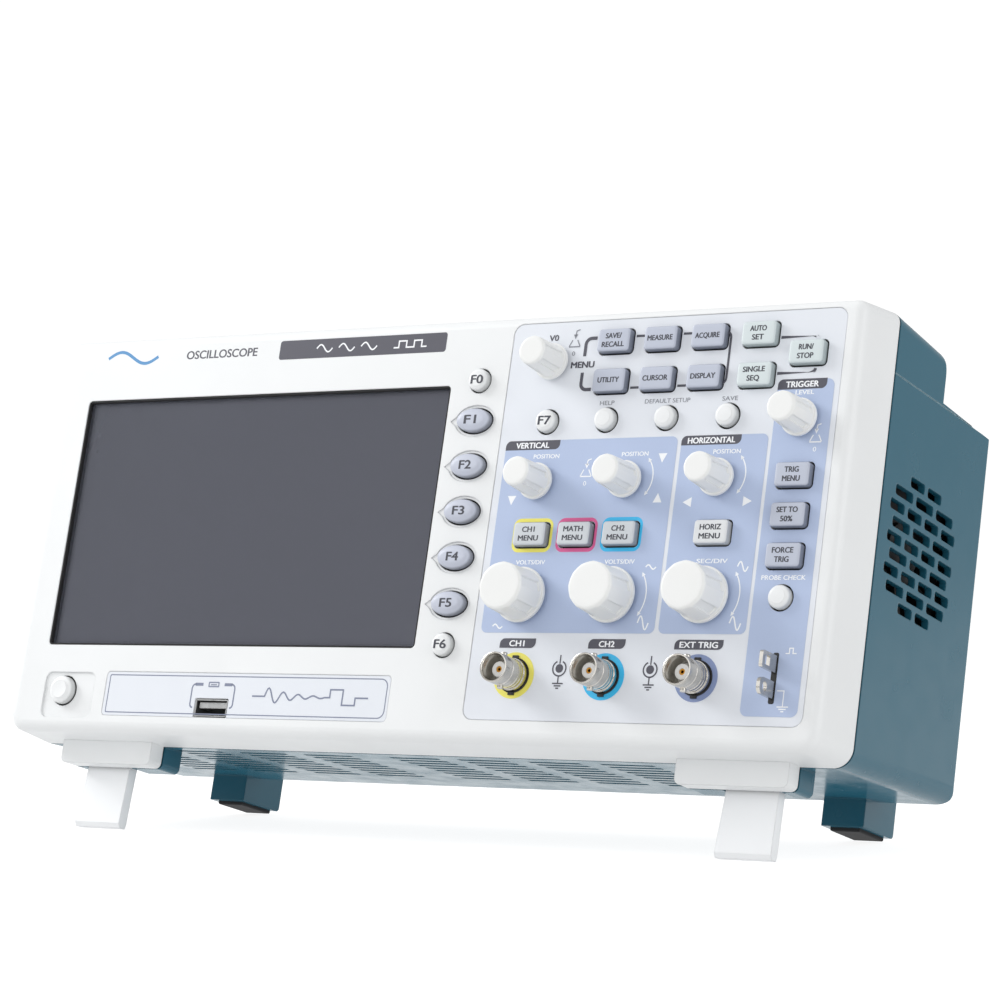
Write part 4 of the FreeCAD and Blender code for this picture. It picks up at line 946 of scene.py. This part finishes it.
# Blue sections of the label (left, right, bottom, top, corner) and the dark badges that name them and the
# sockets (left, right, bottom, top, word and its width).
SECTIONS = ((33.2, 95.5, 36.7, 98.6, 2.0), (96.9, 126.8, 36.7, 98.6, 2.0), (128.0, 147.0, 12.0, 115.2, 2.2))
BADGES = ((33.2, 53.2, 95.6, 98.6, "VERTICAL", 12.2), (96.9, 117.6, 95.6, 98.6, "HORIZONTAL", 16.3),
          (128.0, 144.5, 112.2, 115.4, "TRIGGER", 11.0), (40.9, 53.9, 31.9, 34.9, "CH1", 5.4),
          (73.0, 86.0, 31.9, 34.9, "CH2", 5.4), (103.2, 119.8, 31.9, 34.9, "EXT TRIG", 13.0))
BADGE_CORNERS = (0.0, 1.8, 0.0, 1.8)


def print_sections():
    cuts = openings()
    sections = []
    for edges in SECTIONS:
        outline = plate(*edges)
        sections.append([outline] + [cut for cut in cuts if inside(cut, outline)])
    printed("print_sections", "ink_blue", sections)


def print_badges():
    shapes, texts = [], []
    for left, right, bottom, top, text, width in BADGES:
        shapes.append([plate(left, right, bottom, top, BADGE_CORNERS)])
        texts.append(words(text, (left + right) / 2, (bottom + top) / 2, 1.9, width, 0.2))
    printed("print_badges", "ink_dark", shapes, 2)
    printed("print_badge_words", "ink_white", texts, 3)


def print_lines():
    """Dark lines and words straight on the film: key frame, key links, earth signs between the sockets."""
    left, right, bottom, top, r = 57.9, 109.8, 114.8, 131.6, 2.0
    key_edge, frame_end = 61.8, right - 3.6
    heavy, thin, link = 1.1, 0.75, 0.95
    upper = [(left, 125.8), (left, top - r), *arc(left + r, top - r, r, 180, 90), (key_edge, top)]
    lower = [(left, 120.4), (left, bottom + r), *arc(left + r, bottom + r, r, 180, 270), (key_edge, bottom)]
    bends = arc(right - r, top - r, r, 90, 0) + arc(right - r, bottom + r, r, 0, -90)
    shapes = [line(upper, heavy), line(lower, heavy),
              line([(frame_end, top)] + bends + [(frame_end, bottom)], thin)]
    for x in (77.6, 94.4):
        for z in (top, bottom):
            shapes.append(line([(x - 1.5, z), (x + 1.5, z)], thin))
    for z, side in ((128.8, -1), (117.4, 1)):
        bend = arc(138.8, z + side * 1.2, 1.2, -side * 90, 0, 4)
        shapes.append(line([(127.2, z), (139.0, z)] + bend, link))
    shapes.append(words("MENU", 57.6, 123.1, 2.1, 8.4, 0.25))
    shapes.append(words("V0", 45.8, 132.4, 2.0, 3.4, 0.15))
    z = 25.6
    for x in (63.7, 95.8):
        shapes.append([disc(x, z, 1.35)])
        shapes.append(line(arc(x, z, 2.35, 115, 425, 24), 0.45))
        shapes.append(line([(x, z + 1.5), (x, z + 4.2)], 0.4))
        shapes.append(line([(x, z - 2.4), (x, z - 4.6)], 0.4))
        shapes += ground_bars(x, z - 4.7, 0.75, 0.4)
    printed("print_dark", "ink_dark", shapes)
    captions = (("HELP", 68.4, 5.2), ("DEFAULT SETUP", 90.0, 16.0), ("SAVE", 112.0, 5.4))
    texts = [words(text, x, 110.2, 1.45, width) for text, x, width in captions]
    printed("print_captions", "ink_grey", texts)


def push_mark(x, z):
    """Small arrow pressing on a plinth: the knob can be pushed."""
    return [
        [triangle(x + 0.1, z + 2.2, 1.5, 1.5, 180)],
        line([(x + 0.1, z + 2.6), (x + 0.3, z + 4.1), (x + 1.5, z + 4.5)], 0.35),
        line([(x - 1.9, z - 1.1), (x + 2.1, z - 1.1)], 0.4),
        line([(x - 1.9, z - 1.0), (x - 0.8, z + 1.1)], 0.35),
        line([(x + 2.1, z - 1.0), (x + 1.0, z + 1.1)], 0.35),
        words("0", x + 0.1, z - 3.3, 1.5, 1.1),
    ]


def turn_mark(x, z, radius, reach):
    """Arc with an arrowhead at each end, to the right of a knob."""
    shapes = [line(arc(x, z, radius, -reach, reach, 20), 0.4)]
    for angle, turn in ((-reach, 180 - reach), (reach, reach)):
        px, pz = arc(x, z, radius, angle + 3.4 * angle / reach, angle, 1)[0]
        shapes.append([triangle(px, pz, 1.3, 1.3, turn)])
    return shapes


def sine_mark(x, z, width, height):
    """Small or large signal, at the ends of a scale knob's turn."""
    return line(wave(x, z, width, height), 0.45)


# Arrowheads beside the position knobs: x, z and turn in degrees.
ARROWS = ((38.0, 79.2, 180), (90.9, 91.8, 180), (90.9, 79.2, 0), (101.4, 77.6, 90), (122.2, 77.6, -90))


def print_white():
    """White words and signs on the blue sections."""
    shapes = [sine_mark(CHANNEL_X[0] - 8.4, SCALE_Z - 10.3, 3.6, 1.3)]
    for x in CHANNEL_X:
        shapes.append(words("POSITION", x + 1.3, POSITION_Z + 7.4, 1.4, 9.4, 0.1))
    for x in CHANNEL_X[1:]:
        shapes += turn_mark(x, POSITION_Z, 8.6, 36)
        shapes += turn_mark(x, SCALE_Z, 11.4, 30)
    for x, text in zip(CHANNEL_X, ("VOLTS/DIV", "VOLTS/DIV", "SEC/DIV")):
        shapes.append(words(text, x + 0.6, SCALE_Z + 10.2, 1.4, 10.6, 0.1))
    for x, height in ((CHANNEL_X[1] + 11.9, 1.4), (CHANNEL_X[2] + 11.4, 3.0)):
        shapes.append(sine_mark(x, SCALE_Z + 8.4, 3.6, height))
        shapes.append(sine_mark(x - 0.4, SCALE_Z - 9.0, 3.8, 4.2))
    shapes.append(words("LEVEL", TRIGGER_X, LEVEL_Z + 7.2, 1.4, 6.2, 0.1))
    shapes.append(words("PROBE CHECK", TRIGGER_X, 54.0, 1.45, 14.7, 0.1))
    for x, z, turn in ARROWS:
        shapes.append([triangle(x, z, 3.1, 3.0, turn)])
    shapes += push_mark(64.0, 87.6) + push_mark(142.7, 96.6)
    x, step = 143.4, 1.2
    shapes.append(line(square_trace(x - 2 * step, (x - step, x), x + step, 31.0, 32.6), 0.35))
    blade_z, ground_x = TERMINAL_Z[1], 141.9
    shapes.append(line([(139.6, blade_z), (ground_x, blade_z), (ground_x, 15.2)], 0.3))
    shapes += ground_bars(ground_x, 15.0, 0.7, 0.35)
    printed("print_white", "ink_white", shapes, 2)
    printed("print_push_mark", "ink_grey", push_mark(53.6, 130.2))


BORDER_W, BORDER_H = 1.45, 1.75
BORDER_CORNER, BORDER_HOLE_CORNER = 2.6, 1.4
RING_R = 7.3


def print_colours():
    """Coloured borders round the channel keys and rings round the sockets."""
    borders = (("ch1", "ink_yellow"), ("math", "ink_magenta"), ("ch2", "ink_cyan"))
    for channel, material in borders:
        name = "key_" + channel + "_menu"
        x, z = centre(name)
        low, high = panel_box(name)
        w, h = (high.x - low.x) / 2 - FLANGE, (high.z - low.z) / 2 - FLANGE
        outer = block(x, z, w + BORDER_W, h + BORDER_H, BORDER_CORNER)
        inner = block(x, z, w + GAP, h + GAP, BORDER_HOLE_CORNER)
        printed("print_border_" + channel, material, [[outer, inner]], 2)
    rings = (("ch1", "ink_yellow"), ("ch2", "ink_cyan"), ("ext", "ink_steel"))
    for x, (channel, material) in zip(CHANNEL_X, rings):
        ring = [disc(x, BNC_Z, RING_R), disc(x, BNC_Z, SOCKET_HOLE_R)]
        printed("print_ring_" + channel, material, [ring], 2)


def print_bezel():
    """Marks printed straight on the bezel: generic title, signal badge and a wave mark."""
    on_bezel = {"base": 0.0, "slot": "bezel_white"}
    badge = plate(-62.5, 4.7, 129.6, 136.2, 1.0)
    printed("print_title_badge", "ink_dark", [[badge]], 1, **on_bezel)
    marks = [line(wave(x, 132.9, 6.4, 2.6), 0.5) for x in (-44, -35, -26)]
    marks.append(line(square_trace(-16.0, (-14.0, -11.0, -8.0, -5.0), -3.0, 131.8, 134.0), 0.5))
    printed("print_title_waves", "ink_white", marks, 2, **on_bezel)
    title = words("OSCILLOSCOPE", -87.0, 133.0, 3.0, 30.0, 0.2)
    printed("print_title", "ink_dark", [title], 1, **on_bezel)
    wave_mark = line(wave(-125.5, 133.0, 22.0, 4.4, 36), 1.1)
    printed("print_wave_mark", "ink_mark", [wave_mark], 1, **on_bezel)


STRIP_BASE = 0.05
PORT_X = -68.3


def print_strip():
    """Border, port bracket and drawn signal on the strip label under the display."""
    outer = plate(-112.6, 1.0, 8.5, 21.5, (0.6, 2.6, 2.6, 0.6))
    inner = plate(-112.25, 0.65, 8.85, 21.15, (0.4, 2.3, 2.3, 0.4))
    frames = [[outer, inner]]
    bracket = [(7.4, 18.7), *arc(7.4, 17.3, 1.4, 60, 0, 2), (8.8, 12.0), *arc(7.6, 12.0, 1.2, -30, -90, 2)]
    for side in (-1, 1):
        frames.append(line([(PORT_X + side * 4.4, 18.6), (PORT_X + side * 7.6, 18.6)], 1.0))
        frames.append(line([(PORT_X + side * dx, z) for dx, z in bracket], 0.5))
    printed("print_strip_lines", "ink_slate", frames, 1, STRIP_BASE)
    x = PORT_X
    marks = [[block(x, 18.6, 2.2, 0.9, 0.3), block(x, 18.6, 1.8, 0.5, 0.15)],
             [plate(x - 1.2, x + 1.2, 18.35, 18.7, 0.1)]]
    middle, ring_start = 15.0, -47.0
    trace = [(-52.0, middle), (ring_start, middle)]
    for i in range(49):
        trace.append((ring_start + i / 2, middle + 3.2 * math.exp(-i / 20) * math.sin(math.pi * i / 6)))
    trace += [(-21.0, middle), (-21.0, 17.6), (-16.0, 17.6), (-16.0, 12.6), (-11.0, 12.6), (-11.0, middle),
              (-6.0, middle)]
    marks.append(line(trace, 0.5))
    printed("print_strip_marks", "ink_slate", marks, 2, STRIP_BASE)


print_sections()
print_badges()
print_lines()
print_white()
print_colours()
print_bezel()
print_strip()


# --- probe terminals ---
def build_terminal_slot():
    """Black insulating strip behind the probe blades, with a slot for each."""
    strip = plate(137.0, 138.9, 15.8, 31.2, 0.6)
    slots = [block(BLADE_X, z, 0.65, 2.6, 0.1) for z in TERMINAL_Z]
    mesh = prism_mesh([strip] + slots, FILM_FRONT - 0.12, FILM_FRONT + 0.3)
    new_piece("probe_slot_strip", mesh, "black_plastic")


build_terminal_slot()


# --- stage, light and camera ---
def floor_material():
    """White light table; seen from underneath it is clear."""
    material, tree, bsdf = new_material("light_table")
    tone = blend_colour(tree, noise(tree, 400.0), srgb("#929292"), srgb("#989898"))
    join(tree, tone, bsdf, "Base Color")
    bsdf.inputs["Roughness"].default_value = 0.8
    bsdf.inputs["Emission Color"].default_value = (1, 1, 1, 1)
    scattered = node(tree, "LightPath").outputs["Is Diffuse Ray"]
    join(tree, remap(tree, scattered, 0.88, 0.45), bsdf, "Emission Strength")
    from_below = node(tree, "NewGeometry").outputs["Backfacing"]
    mix_surface(tree, from_below, bsdf, node(tree, "BsdfTransparent"))
    return material


# Half the floor's side, how far behind a foot's front edge it touches the floor, and the gap under it.
FLOOR_HALF, TIP_INSET, FLOOR_GAP = 6.0, 0.003, 0.0002


def build_floor():
    """Plane through the tips of the tilt feet and the rear pads, so the case leans back as it stands."""
    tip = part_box("tilt_foot_left")[0]
    pad_low, pad_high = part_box("foot_pads")
    tip_y = tip.y + TIP_INSET
    lean = math.atan2(pad_low.z - tip.z, pad_high.y - tip_y)
    bm = bmesh.new()
    corners = [(x * FLOOR_HALF, y * FLOOR_HALF, 0) for x, y in ((-1, -1), (1, -1), (1, 1), (-1, 1))]
    bm.faces.new([bm.verts.new(corner) for corner in corners])
    mesh = finished(bm)
    mesh.materials.append(floor_material())
    floor = add_object("floor", mesh)
    floor.matrix_world = Matrix.Translation((0, tip_y, tip.z - FLOOR_GAP)) @ Matrix.Rotation(lean, 4, "X")


# Soft lights: name, azimuth, elevation, distance, size and watts. World: strength on the object and as seen.
LIGHTS = (
    ("key_light", -66, 26, 1.6, (0.8, 0.6), 15.0),
    ("front_light", -12, 14, 2.4, (1.6, 1.4), 6.0),
    ("fill_light", 72, 12, 1.8, (1.2, 1.2), 6.5),
    ("top_light", 0, 80, 1.8, (1.6, 1.6), 4.0),
)
AMBIENT, BACKDROP = 0.60, 1.05


def direction(azimuth, elevation):
    """Unit vector out from the object; azimuth 0 is in front of it and 90 on its right, in degrees."""
    a, e = math.radians(azimuth), math.radians(elevation)
    return Vector((math.sin(a) * math.cos(e), -math.cos(a) * math.cos(e), math.sin(e)))


def area_light(name, azimuth, elevation, distance, size, power, target):
    lamp = bpy.data.lights.new(name, "AREA")
    lamp.shape = "RECTANGLE"
    lamp.size, lamp.size_y = size
    lamp.energy = power
    holder = add_object(name, lamp)
    away = direction(azimuth, elevation)
    holder.location = target + away * distance
    holder.rotation_mode = "QUATERNION"
    holder.rotation_quaternion = (-away).to_track_quat("-Z", "Y")


def build_lights(target):
    world = bpy.data.worlds.new("studio")
    world.use_nodes = True
    tree = world.node_tree
    background = tree.nodes["Background"]
    seen = node(tree, "LightPath").outputs["Is Camera Ray"]
    join(tree, remap(tree, seen, AMBIENT, BACKDROP), background, "Strength")
    background.inputs["Color"].default_value = (1, 1, 1, 1)
    bpy.context.scene.world = world
    for settings in LIGHTS:
        area_light(*settings, target)


def build_camera():
    """Long lens to the right of the front, looking up at the leaning case from just above the bench."""
    aim = TO_FRAME @ Vector((0.0, 49.7, 93.8))
    distance, azimuth, elevation, roll = 1.080, 34.09, -13.45, 7.82
    camera = bpy.data.cameras.new("camera")
    camera.sensor_width = 36.0
    camera.lens = 116.7
    camera.clip_start, camera.clip_end = 0.05, 50.0
    holder = add_object("camera", camera)
    back, level = direction(azimuth, elevation), direction(azimuth + 90, 0)
    upright = back.cross(level)
    tilt = math.radians(roll)
    right = level * math.cos(tilt) + upright * math.sin(tilt)
    up = upright * math.cos(tilt) - level * math.sin(tilt)
    turn = Matrix((right, up, back)).transposed().to_4x4()
    holder.matrix_world = Matrix.Translation(aim + back * distance) @ turn
    bpy.context.scene.camera = holder
    return aim


build_floor()
build_lights(build_camera())
bpy.context.scene.view_settings.view_transform = "Standard"
